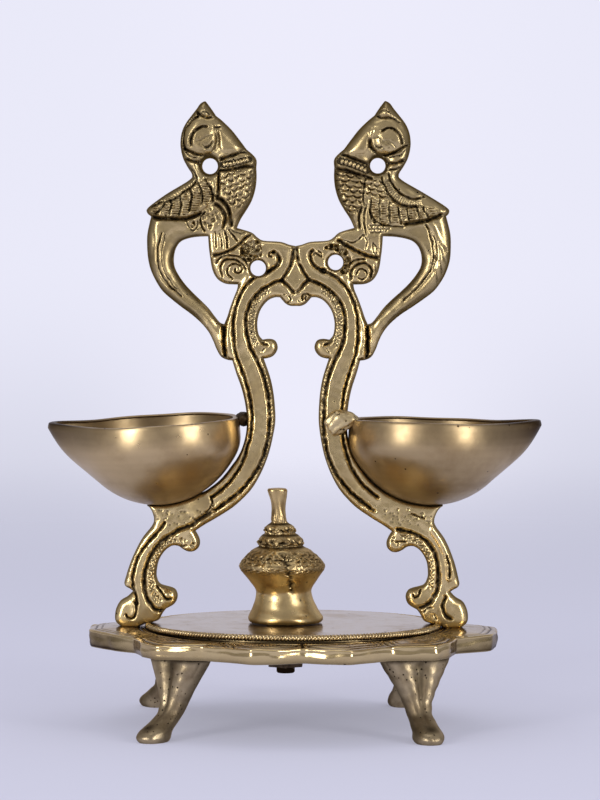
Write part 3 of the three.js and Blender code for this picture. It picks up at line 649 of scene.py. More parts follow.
# The outline of one half, out from the middle and up from the floor, in stretches between corners
outline_stretches = [
    [(0, 156.1), (2.2, 156.6), (5, 157.5), (10.5, 157.9), (12.6, 159), (14.5, 160.6), (19.4, 162.1)],
    [(19.4, 162.1), (18, 165.2), (16, 168.3), (14.3, 171.4), (13.2, 175), (12.8, 178.5), (12.9, 181.8)],
    [(12.9, 181.8), (12.8, 184.2), (13.9, 185.8), (16, 187.6)],
    [(16, 187.6), (18.3, 190.7), (20.9, 194), (24, 197), (25.9, 198.5)],
    [(25.9, 198.5), (27.5, 200.9), (29.3, 203.3)],
    [(29.3, 203.3), (30.7, 202.5), (31.9, 200.8)],
    [(31.9, 200.8), (33.5, 198.8), (35.6, 196), (36.9, 193), (37.3, 189.6), (37, 187)],
    [(37, 187), (36.3, 184.6), (34.9, 182), (33.6, 180), (33.4, 178.6)],
    [(33.4, 178.6), (35.4, 177), (42.2, 173), (48.4, 168.8), (49, 167.2), (47.8, 166)],
    [(47.8, 166), (48.4, 163.8), (49.2, 160), (49.3, 156), (49, 152), (48.1, 148.6), (46.6, 145.4),
     (44.2, 141.9), (41, 139.2), (37.5, 136.6), (33.9, 134.1), (30.7, 131.3), (28.4, 128.5),
     (26.9, 125.6), (25.8, 122.8), (24.4, 120.4), (22.4, 119.4), (20.7, 119.2)],
    [(20.7, 119.2), (19.5, 115), (17.8, 110), (16.7, 105), (16.2, 100), (16.4, 95), (17.5, 90.5),
     (19, 87.2), (20.8, 84.6), (22.7, 82), (24.8, 79.6), (27.5, 77.4), (30.3, 75.7), (33, 75.6)],
    [(33, 75.6), (48.6, 75.6)],
    [(48.6, 75.6), (48.6, 71.9)],
    [(48.6, 71.9), (47.2, 70.9), (46.2, 69.2), (45.6, 66.9), (46.3, 64.7), (49.6, 60.2), (52.6, 53.5),
     (54.4, 47.3), (54.6, 45.9), (54, 45), (52.8, 44.4), (51.6, 43.5)],
    [(51.6, 43.5), (53.5, 41.6), (55.8, 40.2), (57.1, 38), (57.6, 35.6), (57.3, 33.5), (55.4, 31.8)],
    [(55.4, 31.8), (50.4, 31.6)],
    [(50.4, 31.6), (48, 32.9), (45.5, 33.4), (43.5, 34.2), (42.4, 36.2), (41.2, 37.8)],
    [(41.2, 37.8), (38.6, 39.3), (37.6, 41.2), (37.7, 42.9), (38.9, 44.3), (42.8, 45.4), (44, 46.5)],
    [(44, 46.5), (44.6, 48.5), (44.5, 51), (44, 53.5), (42.8, 55.8), (41.2, 57.6), (39.3, 58.6),
     (37.3, 58.4), (35.7, 57.3), (34, 56.6), (32.3, 56.8), (31, 58), (30.7, 59.7), (31.3, 61.5),
     (32.4, 63.3)],
    [(32.4, 63.3), (29.2, 65.5), (25.5, 67.7), (20.5, 71), (17.2, 74), (14.5, 77.1), (12.3, 80.8),
     (10.5, 84.8), (9.1, 89), (8, 94), (7.3, 99), (7.4, 104), (7.9, 109), (8.9, 113.8), (10.9, 119.8)],
    [(10.9, 119.8), (9.7, 119.9), (7.9, 120.5), (6.6, 121.9), (6.2, 123.6), (7, 125.4), (8.8, 125.9),
     (11, 125.6)],
    [(11, 125.6), (12.3, 127.2), (12.8, 129.8), (12.7, 132.4), (11.9, 135.2), (10.5, 137.4),
     (8.8, 139), (6.8, 139.8), (5, 139.8)],
    [(5, 139.8), (4.1, 138.7), (3, 137.6), (1.6, 137), (0, 137)],
]
tail_loop_stretches = [
    [(28.3, 159.7), (32.4, 159.5), (35.7, 158.9), (38.2, 157.8), (39.9, 155.5), (40.6, 152.4),
     (40.3, 149.5), (38.9, 146.8), (36.8, 144), (34.2, 141.3), (31.5, 138.8), (28.8, 136.1),
     (26.6, 133.2), (24.9, 131.2), (23.3, 130.6)],
    [(23.3, 130.6), (22.2, 133.2), (21.2, 136.3), (20, 139.5), (18.9, 142.2), (18.6, 144)],
    [(18.6, 144), (20.3, 144), (22.7, 144.2), (24.9, 145.3), (26.4, 147.3), (27.2, 149.8),
     (27.6, 152.5), (28, 155.5), (28.3, 159.7)],
]


def settled(x, z):
    """How far the casting stands to the right of even, at a place on it."""
    whole = np.interp(z, [33, 47, 66, 76, 100, 125, 150, 205],
                      [-0.6, -0.4, 0.3, 0.8, 1.35, 1.0, 0.85, 0.7])
    tail = np.interp(z, [122, 138, 152, 166, 172], [0, 0.8, 1.1, 1.0, 0.2])
    return whole + np.clip((np.abs(x) - 32) / 14, 0, 1) * tail


def on_side(side, points):
    """Half-drawn points on one side of the casting, where they really lie."""
    flat = np.array(points, float)
    flat[:, 0] *= side
    flat[:, 0] += settled(flat[:, 0], flat[:, 1])
    return flat


def chained(side, stretches):
    """One closed loop from stretches that meet at corners."""
    return np.vstack([curve(on_side(side, part), per_span=4)[:-1] for part in stretches])


def bowl_profile(side):
    """The bowl's outer form in the casting's plane, closed across its rim."""
    turn = np.linspace(-np.pi / 2, np.pi / 2, 41)
    x = bowl_radius * np.sin(turn)
    z = bowl_depth * (1 - np.cos(turn))
    droop = math.radians(bowl_droop[side])
    flat = np.stack([x * math.cos(droop) + side * z * math.sin(droop),
                     z * math.cos(droop) - side * x * math.sin(droop)], -1)
    return flat + np.array(bowl_knee[side])


# The bowls hang in the arms: -1 is the left one and 1 the right one, with its droop in degrees and
# the place where its floor meets the knee of the arm
bowl_radius = 27.9
bowl_depth = 27.9
bowl_droop = {-1: 2.9, 1: 1.3}
bowl_knee = {-1: (-43.0, 71.8), 1: (44.6, 71.8)}
bowl_gap = 0.05
# Middle and radius of each pierced hole
neck_holes = [((-27.0, 182.3), 2.75), ((27.6, 182.4), 2.7)]
bridge_holes = [((-11.35, 149.1), 2.75), ((13.9, 151.0), 2.7)]

right_half = chained(1, outline_stretches)
left_half = chained(-1, outline_stretches)
middle_foot = np.array([[settled(0.0, 137.0), 137.0]])
outline = np.vstack([right_half, middle_foot, left_half[::-1][:-1]])
depth = depth_inside(outline)
for side in (-1, 1):
    depth = np.minimum(depth, -depth_inside(chained(side, tail_loop_stretches)))
    depth = np.minimum(depth, -depth_inside(bowl_profile(side)) - bowl_gap)
for (hole_x, hole_z), hole_radius in neck_holes + bridge_holes:
    depth = np.minimum(depth, np.hypot(grid_x - hole_x, grid_z - hole_z) - hole_radius)


def waves(length, seed):
    """Smooth random unevenness of about one in size, with swells of a given length in millimetres."""
    count = 14
    random = np.random.default_rng(seed)
    total = np.zeros(grid_x.shape)
    for _ in range(count):
        turn, phase = random.uniform(0, 2 * np.pi, 2)
        pitch = 2 * np.pi / (length * random.uniform(0.7, 1.6))
        total += np.sin(pitch * (grid_x * math.cos(turn) + grid_z * math.sin(turn)) + phase)
    return total / math.sqrt(count / 2)


relief_height = 0.09 * waves(9.0, 1) + 0.02 * waves(3.0, 2)
grime_and_shade_map = np.zeros(grid_x.shape)
# How round the edges are: more from the birds' feet up, more again at their heads, and little where
# the knee of each arm meets its bowl
bird_feet = 158
bird_heads = 183
on_bird = np.clip((grid_z - bird_feet) / 8, 0, 1)
on_head = np.clip((grid_z - bird_heads) / 6, 0, 1)
edge_round = 1.3 + 1.1 * on_bird + 1.3 * on_head
under_bowl = (np.abs(grid_x) > 38) & (grid_z > 70.8) & (grid_z < 78)
edge_round[under_bowl] = 0.4
# How far a cut made by hand strays from its line, and how unevenly deep it goes
hand_x = 0.07 * waves(3.0, 3) + 0.02 * waves(1.1, 4)
hand_z = 0.07 * waves(3.0, 5) + 0.02 * waves(1.1, 6)
cut_depth = np.clip(1 + 0.12 * waves(2.6, 7) + 0.07 * waves(1.1, 8), 0.5, 1.35)


def mound(x, z, radius, roundness):
    """A stretch of the casting whose edges are rounder than the rest."""
    near = np.clip(1.6 - np.hypot(grid_x - x, grid_z - z) / radius, 0, 1)
    np.maximum(edge_round, 1.5 + (roundness - 1.5) * near * near * (3 - 2 * near), out=edge_round)


def raise_form(points, height, roundness):
    """A pillow that stands proud inside a closed loop."""
    loop = curve(points, closed=True)
    inner = np.clip(depth_inside(loop, roundness + 0.5) / roundness, 0, 1)
    relief_height[:] += height * np.sqrt(1 - (1 - inner) ** 2)


def raise_boss(x, z, radius, height, roundness, corners=8):
    """A round pillow, such as a cheek."""
    turns = np.linspace(0, 2 * np.pi, corners + 1)[:-1]
    raise_form([(x + radius * math.cos(a), z + radius * math.sin(a)) for a in turns], height, roundness)


def groove(points, width=0.8, deep=0.6, dirt_and_shade=0.95, smooth=True):
    """A chased line, cut in by hand and black with old grime; on the birds a wider painted shade lies
    round it.
    """
    line = curve(points) if smooth else np.array(points, float)
    gap = distance_to(line, 2.4 * width, by_hand=True) / (0.75 + 0.25 * cut_depth)
    relief_height[:] -= deep * cut_depth * np.exp(-((gap / (0.5 * width)) ** 2))
    lip = np.exp(-(((gap - 0.95 * width) / (0.32 * width)) ** 2))
    relief_height[:] += 0.1 * deep * lip
    shade = dirt_and_shade * np.clip(0.55 + 0.5 * cut_depth, 0, 1) * np.exp(-((gap / (0.46 * width)) ** 4))
    np.maximum(grime_and_shade_map, shade, out=grime_and_shade_map)
    # Painted shade: a wide dark haze round each line on the birds
    shade_haze = 0.62 * np.clip((grid_z - 156) / 8, 0, 1) * np.exp(-((gap / (1.25 * width)) ** 2))
    np.maximum(grime_and_shade_map, shade_haze, out=grime_and_shade_map)


def ridge(points, width, height):
    """A line that stands up from the face."""
    gap = distance_to(curve(points), 2.2 * width)
    relief_height[:] += height * np.exp(-((gap / (0.6 * width)) ** 2))


def spaced(points, step):
    """Places and directions at even steps along a smooth line."""
    line = curve(points, per_span=12)
    run = np.concatenate([[0], np.cumsum(np.hypot(*np.diff(line, axis=0).T))])
    at = np.arange(step / 2, run[-1], step)
    place = np.stack([np.interp(at, run, line[:, 0]), np.interp(at, run, line[:, 1])], -1)
    ahead = np.stack([np.interp(at + 0.1, run, line[:, 0]), np.interp(at + 0.1, run, line[:, 1])], -1)
    way = ahead - place
    way[-1] = place[-1] - place[-2] if len(place) > 1 else way[-1]
    return place, way / (np.hypot(way[:, 0], way[:, 1])[:, None] + 1e-9)


def beads(points, step, radius, height):
    """A row of beads with dark gaps between them, longer across the row than along it."""
    stretch = 1.5
    gap = distance_to(curve(points), 2.2 * radius * stretch)
    ground = gap < 1.2 * radius * stretch
    np.maximum(grime_and_shade_map, 0.9 * ground, out=grime_and_shade_map)
    relief_height[ground] -= 0.35
    for (x, z), (dx, dz) in zip(*spaced(points, step)):
        along = (grid_x - x) * dx + (grid_z - z) * dz
        across = ((grid_z - z) * dx - (grid_x - x) * dz) / stretch
        off = np.hypot(along, across)
        near = off < radius
        relief_height[near] += height * np.sqrt(1 - (off[near] / radius) ** 2)
        grime_and_shade_map[off < 0.8 * radius] = 0.05


def ticks(points, step, length, slant, width, deep):
    """Short cuts across a line at a slant to it."""
    turn = math.radians(slant)
    for (x, z), (dx, dz) in zip(*spaced(points, step)):
        ux = dx * math.cos(turn) - dz * math.sin(turn)
        uz = dx * math.sin(turn) + dz * math.cos(turn)
        ends = [(x - ux * length / 2, z - uz * length / 2), (x + ux * length / 2, z + uz * length / 2)]
        groove(ends, width, deep, 0.75, smooth=False)


def zigzag(points, step, reach):
    """A line chased from side to side along a strip, with a punched hollow inside each turn."""
    place, way = spaced(points, step)
    to_and_fro = np.where(np.arange(len(place)) % 2, reach, -reach)[:, None]
    across = np.stack([-way[:, 1], way[:, 0]], -1) * to_and_fro
    groove(place + across, 0.45, 0.4, 0.8, smooth=False)
    for x, z in place - 0.6 * across:
        dot = np.exp(-((np.hypot(grid_x - x, grid_z - z) / 0.4) ** 4))
        relief_height[:] -= 0.3 * dot
        np.maximum(grime_and_shade_map, 0.85 * dot, out=grime_and_shade_map)


def hatch(points, angle, pitch, deep):
    """Fine parallel cuts inside a loop, such as the barbs of a feather."""
    inner = depth_inside(curve(points, closed=True), 1.0) > 0
    turn = math.radians(angle)
    across = (grid_x + 0.5 * hand_x) * math.cos(turn) + (grid_z + 0.5 * hand_z) * math.sin(turn)
    wave = 0.5 - 0.5 * np.cos(2 * np.pi * across / pitch)
    relief_height[inner] -= (deep * cut_depth * wave**2)[inner]
    grime_and_shade_map[inner] = np.maximum(grime_and_shade_map[inner], (0.75 * cut_depth * wave**4)[inner])


def barbs(spans, upper_edge, lower_edge, angle):
    """Hatching on each long feather of a wing, between the wing's upper and lower edge."""
    for low, high in spans:
        middle = (low + high) / 2
        top, bottom = np.interp(middle, *upper_edge), np.interp(middle, *lower_edge)
        hatch([(low, bottom), (high, bottom), (high, top), (low, top)], angle, 0.82, 0.42)


def crescents(points, pitch, row_pitch, deep, slant):
    """Rows of curved strokes inside a loop, each like a small overlapping feather."""
    inner = depth_inside(curve(points, closed=True), 1.0) > 0.3
    turn = math.radians(slant)
    opening = 1.15
    shifted_x, shifted_z = grid_x + 1.3 * hand_x, grid_z + 1.3 * hand_z
    u = (shifted_x * math.cos(turn) + shifted_z * math.sin(turn)) / pitch
    v = (shifted_z * math.cos(turn) - shifted_x * math.sin(turn)) / row_pitch
    row = np.floor(v)
    column_shift = 0.5 * np.mod(row, 2)
    off = (u - np.round(u - column_shift) - column_shift) * 2
    height = (v - row) - 0.25 - 0.45 * opening * off**2
    line = np.exp(-((height * row_pitch / 0.3) ** 2)) * (np.abs(off) < 0.92)
    puff = np.clip(height, 0, 0.6) * (1 - off**2)
    relief_height[inner] -= (deep * cut_depth * line)[inner]
    relief_height[inner] += (0.35 * puff)[inner]
    grime_and_shade_map[inner] = np.maximum(grime_and_shade_map[inner], np.clip(0.95 * line * cut_depth, 0, 1)[inner])


def scales(points, pitch, deep):
    """Rows of overlapping round feathers inside a loop."""
    inner = depth_inside(curve(points, closed=True), 1.0) > 0.2
    row_share = 0.62
    u = grid_x / pitch
    v = grid_z / (row_share * pitch)
    near = np.full(grid_x.shape, 9.0)
    for step in (0, 1, 2):
        row = np.floor(v) + step
        column = np.round(u - 0.5 * np.mod(row, 2)) + 0.5 * np.mod(row, 2)
        below = (v - row) * row_share
        gap = np.abs(np.hypot(u - column, below) - 0.47)
        near = np.where(below < 0.1, np.minimum(near, gap), near)
    line = np.exp(-((near * pitch / 0.22) ** 2))
    relief_height[inner] -= deep * line[inner]
    grime_and_shade_map[inner] = np.maximum(grime_and_shade_map[inner], 0.9 * line[inner])


def pits(points, spacing, radius, deep, seed):
    """Scattered punched dots inside a loop."""
    loop = curve(points, closed=True)
    inner = depth_inside(loop, 1.0)
    window = 6
    random = np.random.default_rng(seed)
    low, high = loop.min(0), loop.max(0)
    for _ in range(int(np.prod(high - low) / spacing**2)):
        x, z = random.uniform(low, high)
        i, j = np.searchsorted(grid_across, x), np.searchsorted(grid_up, z)
        if inner[min(i, len(grid_across) - 1), min(j, len(grid_up) - 1)] < 0.3:
            continue
        i0, i1, j0, j1 = i - window, i + window, j - window, j + window
        gap = np.hypot(grid_x[i0:i1, j0:j1] - x, grid_z[i0:i1, j0:j1] - z)
        dot = np.exp(-((gap / radius) ** 2))
        relief_height[i0:i1, j0:j1] -= deep * dot
        np.maximum(grime_and_shade_map[i0:i1, j0:j1], 0.9 * dot, out=grime_and_shade_map[i0:i1, j0:j1])


# Where the casting is fuller and rounder: heads, necks, breasts, tails and scroll ends
for side in (-1, 1):
    for x, z, radius, roundness in [
        (30.5, 190.5, 8, 3.6), (21, 190, 6, 3.8), (17, 176, 6, 3.2), (27, 183, 5, 2.4),
        (46, 160, 6, 3.0), (46, 150, 7, 3.2), (41, 141, 7, 3.2), (34, 134.5, 6, 3.0), (27, 126, 5, 2.6),
        (54, 37, 5, 2.4), (40.5, 41.5, 4, 2.2), (33, 60, 4, 2.0), (8.6, 123, 4, 2.0), (23, 148, 5, 2.0),
    ]:
        mound(side * x + settled(side * x, z), z, radius, roundness)

# The flat band of each arm between its two grooves, a ridge outside it, a zigzag strip and a notched
# leaf edge inside it, a slot at the tail's tip, and punched dots on the knee
for side in (-1, 1):
    outer_groove = on_side(side, [
        (8.3, 148.3), (11.6, 147.2), (14.2, 145.4), (16.7, 142.6), (18.6, 139), (19.8, 134.8),
        (20.3, 130), (20.1, 125), (19.1, 120), (17.3, 115), (15.8, 110), (14.9, 105), (14.6, 100),
        (14.9, 95), (16.1, 90), (17.6, 85.6), (20.2, 81), (23.5, 77.3), (27, 74.6),
    ])
    inner_groove = on_side(side, [
        (4.2, 145.2), (7, 144.4), (10, 142.8), (12.8, 140.4), (14.9, 137.4), (15.9, 134.2), (16.1, 131),
        (15.8, 127), (14.8, 123.5), (13.2, 120.3), (11.4, 116.3), (10.1, 112), (9.2, 107), (8.8, 101),
        (9, 95), (10.1, 89.5), (11.8, 85), (14.1, 81), (17.4, 77), (21.2, 73.7), (26, 70.2),
    ])
    groove(outer_groove, 0.95, 1.1)
    groove(inner_groove, 1.1, 1.15)
    ridge(on_side(side, [
        (15.6, 146.2), (18.2, 142.2), (20.2, 138), (21.4, 133), (21.8, 128), (21.4, 122.5),
        (19.4, 116.5), (17.2, 110), (16, 104), (15.6, 98), (16.3, 93), (18, 88), (21, 83), (24.5, 79.2),
        (28.5, 76),
    ]), 0.9, 0.25)
    strip = on_side(side, [
        (8.3, 142.2), (11, 140.7), (13.2, 137.6), (14.2, 134), (14.4, 130), (13.8, 126.6), (12.4, 123.2),
    ])
    zigzag(strip, 1.25, 0.8)
    leaf_edge = on_side(side, [
        (10.4, 117.6), (9.3, 113), (8.5, 108), (8, 102), (8.1, 96), (8.8, 91), (10.2, 86.4), (12.6, 81.8),
    ])
    ticks(leaf_edge, 1.3, 1.0, 65 * side, 0.4, 0.25)
    slot = on_side(side, [(23.4, 130.8), (23.5, 127), (23.3, 123), (22.9, 119.8)])
    groove(slot, 1.2, 2.0)
    groove(on_side(side, [(9.4, 124.2), (10.6, 124.6), (11.4, 125.6)]), 0.9, 1.0)
    groove(on_side(side, [(10.1, 122.9), (10.9, 121.8)]), 0.5, 0.4)
    knee = on_side(side, [(24, 73.6), (30, 71.4), (44, 71), (44.6, 66), (36, 65.2), (29, 67.6)])
    pits(knee, 1.5, 0.35, 0.22, 7 + side)

# The middle, where the two bands meet round a flat diamond above the pendant
groove([(0.5, 155.8), (0.0, 152.6), (-0.7, 150), (-1.8, 147.8), (-3.6, 145.3)], 1.0, 1.0)
groove([(1.3, 155.6), (1.6, 152.4), (2.6, 149.6), (4, 147.2), (5.3, 145.4)], 1.0, 1.0)
groove([(-3.0, 144.9), (-1.4, 143.1), (0.3, 141.4)], 1.15, 0.95)
groove([(4.5, 144.8), (3.0, 143.1), (1.7, 141.6)], 1.15, 0.95)
groove([(-1.1, 140), (-0.6, 139.1), (-1.1, 138.2), (-1.9, 137.9)], 0.55, 0.6)
groove([(-2.9, 140.6), (-2.3, 140.7)], 0.5, 0.5)
groove([(3.3, 138.7), (3.2, 139.8), (3.8, 140.8), (4.8, 140.9), (5.7, 140.3)], 0.6, 0.7)
groove([(4.7, 138.6), (4.1, 139.1), (4.2, 139.9)], 0.5, 0.6)
groove([(1.8, 138.9), (2.2, 137.9)], 0.45, 0.5)

# Hooks on the bridge, with the metal left rough round the two pierced holes
groove([(-9.3, 147.3), (-7.4, 148.2), (-5.4, 149.7), (-4.4, 151.6), (-4.8, 153.5), (-6.3, 154.4)],
       1.2, 1.1)
groove([(-6.3, 154.4), (-7.5, 154), (-7.6, 153.1), (-6.8, 152.8)], 0.6, 0.7)
groove([(10.6, 148.5), (8.6, 148.8), (6.9, 150.1), (5.8, 151.9), (5.7, 153.8), (6.4, 154.8)], 1.1, 1.1)
groove([(6.9, 153.4), (7.4, 154.1), (8.2, 153.6), (9.4, 152.6)], 0.55, 0.6)
groove([(8.3, 154.8), (9.3, 154.1), (9.5, 153)], 0.5, 0.5)
for loop, seed in [
    ([(-16, 157), (-11, 158), (-10, 153.4), (-12, 152.6), (-14.6, 151), (-17, 153.6)], 11),
    ([(10.4, 155.4), (12.4, 157), (16.6, 156), (19, 152), (17.6, 147.4), (15.4, 148), (16.8, 151),
      (14.6, 154.6)], 12),
]:
    rough = depth_inside(curve(loop, closed=True), 1.5) > 0
    relief_height[rough] -= 0.7
    grime_and_shade_map[rough] = np.maximum(grime_and_shade_map[rough], 0.55)
    pits(loop, 0.8, 0.45, 0.7, seed)

# Left peacock, from the head down to the claws: head, eye and beak, collar, breast, wing, tail and feet
raise_form([(-25.4, 195.8), (-28, 197.6), (-31, 197.6), (-33.8, 195.4), (-35.4, 191.6), (-34.8, 188.6),
            (-31.4, 186.6), (-28, 185.8), (-25.2, 188), (-24.6, 191.6)], 0.9, 3.0)
raise_boss(-29.3, 190.9, 3.7, 0.4, 2.6)
raise_form([(-26.8, 198.8), (-29.4, 202.2), (-31, 200.6), (-29.6, 199.2)], 0.5, 1.0)
groove([(-31.4, 200.4), (-30, 198.8), (-28, 198), (-26.2, 198.1)], 0.8, 0.8)
groove([(-30.2, 199.2), (-28.4, 200), (-26.9, 198.9)], 0.45, 0.35)
groove([(-30.8, 198.3), (-33.6, 196.4), (-35.2, 193.6), (-35.5, 190), (-34.8, 187.6)], 0.8, 0.8)
beads([(-31.2, 199.2), (-33, 197.6), (-34.4, 195.6)], 0.95, 0.5, 0.5)
groove([(-33.1, 189.2), (-32.8, 191.6), (-31.5, 193.7), (-29.6, 194.9), (-27.9, 195)], 0.85, 0.9)
groove([(-28.3, 188.1), (-26.9, 188.7), (-26, 189.8)], 0.8, 0.7)
groove([(-31.2, 190.2), (-29.2, 190.8), (-27.6, 191.9), (-26, 192.4)], 0.35, 0.25, 0.6)
pits([(-31, 189), (-30.6, 192.6), (-26.6, 193), (-26, 188.8)], 1.7, 0.3, 0.2, 21)
groove([(-25.2, 194.9), (-24.2, 194.8), (-23.6, 194.9)], 0.7, 0.6)
groove([(-25, 193.8), (-24.4, 191.6), (-24.5, 189.6), (-25.3, 187.4)], 1.3, 0.5, 0.45)
raise_form([(-23.9, 194.2), (-20.6, 192.8), (-16.6, 188.4), (-17.4, 187.6), (-22.6, 186.6),
            (-23.8, 189.6)], 0.7, 2.2)
groove([(-35.2, 187.8), (-33.2, 187), (-31, 186), (-29.5, 185.7)], 0.75, 0.9)
groove([(-36, 184.9), (-33.4, 184.1), (-30.2, 183.4)], 0.8, 0.9)
groove([(-34.6, 186.6), (-33.2, 185.4), (-31.2, 184.8)], 0.4, 0.35)
groove([(-34.4, 182.6), (-32.6, 181), (-31.6, 179.4), (-31, 178.2)], 0.6, 0.6)
groove([(-23.4, 184.4), (-20, 185.6), (-16.4, 186.8), (-13.4, 186.6)], 0.9, 1.0)
groove([(-23.6, 180.8), (-20, 181.1), (-16, 182), (-12.4, 182.1)], 0.95, 1.0)
beads([(-22.8, 182.6), (-19, 183.2), (-14.0, 184.5)], 1.12, 0.6, 0.7)
raise_form([(-13.6, 180.6), (-22.6, 179.4), (-23.6, 173.6), (-20.6, 167.6), (-18.6, 166), (-14.4, 172)],
           0.6, 3.2)
crescents([(-13, 180.8), (-23.4, 180), (-23.2, 174.6), (-19.6, 168.6), (-15.8, 169.4), (-13.2, 173.6)],
          2.3, 1.75, 0.5, 24)
groove([(-24.2, 180.2), (-24.1, 176), (-24.3, 172.6)], 0.9, 1.0)
groove([(-24.5, 171.9), (-22.4, 170.9), (-20.8, 168.4), (-20.1, 165.6), (-20, 163.2)], 0.95, 1.0)
groove([(-25.4, 170.1), (-23.6, 168.9), (-22.2, 166.6), (-21.9, 164.6), (-22.6, 162.2)], 0.85, 0.9)
ridge([(-24.4, 170.9), (-22.4, 169.2), (-21.2, 166.6), (-20.9, 163.4)], 0.7, 0.35)
raise_form([(-26, 169.6), (-29.2, 167.6), (-29.8, 164.8), (-28.4, 161.6), (-25, 161), (-22.8, 163.4),
            (-23, 166.6), (-24.6, 169)], 0.55, 2.4)
pits([(-26, 169), (-29, 166.8), (-29, 163), (-26, 161.4), (-23.4, 163.6), (-23.8, 167)],
     0.9, 0.4, 0.4, 22)
groove([(-28.4, 167.4), (-29.9, 165.6), (-29.6, 163.2), (-28.6, 161)], 0.6, 0.7)
raise_form([(-26.6, 178), (-31, 176.6), (-34.6, 174), (-46, 168.8), (-46, 166), (-34, 166), (-29, 168),
            (-25.8, 172)], 0.95, 1.6)
for line in [
    [(-28.6, 178.2), (-26.9, 175.6), (-25.9, 173), (-26, 170.8)],
    [(-30.8, 176.8), (-29.7, 174.5), (-29.3, 172), (-29.6, 170.2)],
    [(-33.2, 174.6), (-32.8, 172), (-33.2, 169.4), (-33.8, 167.6)],
    [(-36.6, 172.4), (-36.2, 170), (-36.4, 168), (-36.9, 166.6)],
    [(-39.7, 171), (-39.5, 169), (-40, 166.6)],
    [(-41.6, 170.2), (-42.8, 168.4), (-44.4, 166.8)],
]:
    groove(line, 0.7, 0.75)
barbs([(-29.2, -26.2), (-32.8, -30), (-36, -33.6), (-39.2, -36.9), (-42, -40.3), (-45.4, -43.2)],
      ([-46, -40, -34, -27], [169, 170.6, 173.6, 176.6]), ([-46, -33, -27], [166.4, 166.6, 171]), 84)
groove([(-46.2, 168.9), (-42.5, 170.5), (-38.6, 171.4), (-35.6, 173.6), (-33.2, 175.2), (-31, 177.6)],
       0.65, 0.7)
hatch([(-32, 178.6), (-34, 177.2), (-46, 170.4), (-46.6, 169.6), (-38, 172.4), (-33, 176)], 50, 0.9, 0.22)
groove([(-46.8, 165.9), (-43, 165.3), (-39, 165.1), (-35.5, 165), (-32.5, 165.7), (-30, 166.9)],
       1.0, 1.15)
groove([(-34.4, 164.4), (-33.6, 162.2), (-32.2, 161.4), (-31, 162.6), (-31, 164.4)], 0.5, 0.5)
pits([(-33.4, 164.2), (-33, 161.8), (-31.6, 161.8), (-31.6, 164.4)], 0.8, 0.4, 0.5, 23)
raise_form([(-34.6, 164.4), (-44.6, 164.4), (-44.8, 158), (-45.4, 152), (-43, 146), (-37, 140.4),
            (-30, 134.4), (-26.4, 128), (-24.6, 122), (-26, 124), (-29.4, 130), (-36, 136.6),
            (-41.4, 141.4), (-44.6, 146.6), (-42.4, 151), (-42, 157), (-39, 161.4), (-35, 162)],
            0.35, 1.2)
groove([(-42.4, 160.6), (-43.6, 157), (-43.9, 153), (-43.4, 149), (-42, 146), (-39.6, 143), (-36, 139.8)],
       0.6, 0.6)
groove([(-41.2, 160.2), (-42.2, 156.6), (-42.6, 152.6), (-42, 148.8), (-40.4, 145.6), (-37.6, 142.4)],
       0.45, 0.35)
groove([(-25.2, 160.8), (-25, 158), (-24.7, 156)], 0.5, 0.5)
groove([(-23.7, 160.4), (-23.2, 158), (-23.1, 155.8)], 0.5, 0.5)
groove([(-22, 161), (-21.4, 158.4), (-21.2, 155.6)], 0.7, 0.7)
groove([(-20.6, 161.6), (-19.4, 159.8), (-17.9, 158)], 0.6, 0.6)
groove([(-25.6, 153.4), (-23, 153.9), (-20, 155), (-17, 157.3), (-13.9, 160.2)], 0.95, 1.0)
groove([(-19.9, 161.6), (-17.4, 160.4), (-15.8, 160.9)], 0.5, 0.4)
groove([(-24.9, 150.8), (-23.6, 152.6), (-20.4, 153.3), (-17, 152.6), (-15, 150.9), (-14.1, 149.2)],
       0.65, 0.7)
groove([(-23, 146.7), (-23.5, 149.4), (-22.2, 151.6), (-19.4, 152), (-16.9, 150.9), (-15.4, 148.9)],
       0.75, 0.8)
groove([(-19.6, 145.6), (-21.2, 147.5), (-20.9, 149.6), (-19, 150.6), (-17, 149.9), (-16.6, 148.4),
        (-17.6, 147.5), (-18.8, 148), (-18.6, 149)], 0.6, 0.7)

# Right peacock, in the same order, with its lines where the photograph has them
raise_form([(25.6, 195.8), (28.4, 197), (32, 196.8), (35, 194.4), (36.6, 190.6), (35.6, 188), (31.4, 186),
            (28, 185.8), (25.6, 188), (24.8, 192)], 0.9, 3.0)
raise_boss(31.4, 190.4, 3.9, 0.45, 2.6)
raise_form([(26.8, 198.8), (29.4, 202), (31.8, 200), (32.4, 198.6), (29, 198.8)], 0.5, 1.0)
groove([(25, 197.6), (26.8, 198.4), (28.6, 197.9), (31, 197.9), (33, 197.3), (34.6, 196.3)], 0.7, 0.7)
groove([(28, 199.4), (30, 200.4), (31.6, 199.2)], 0.45, 0.35)
groove([(29.1, 193.6), (31, 194.4), (33, 194), (34.5, 192.5), (35.3, 190.8), (35.5, 189.7)], 0.75, 0.85)
groove([(26.9, 188.8), (27.9, 188), (29, 188.2)], 0.6, 0.5)
groove([(26.6, 191.2), (28, 191.5), (29.6, 190), (31, 190.4), (33.4, 188.4)], 0.35, 0.25, 0.6)
pits([(27.4, 188), (27.4, 192), (31.4, 190.8), (33, 188.6), (30, 187.2)], 1.6, 0.3, 0.2, 31)
groove([(25.1, 190.6), (25.4, 188.6), (26.6, 186.8)], 1.0, 0.8)
raise_form([(24.4, 195), (26.6, 193.6), (25, 189.6), (23.6, 186.4), (19, 186.2), (17.8, 187.4),
            (20.6, 191.6)], 0.8, 2.4)
groove([(37.4, 189.1), (35.5, 187.9), (33, 186.5), (31, 185.7), (29.6, 185.7)], 0.8, 0.95)
groove([(37, 184.3), (35, 183.6), (33, 183.1), (31, 183)], 0.9, 0.95)
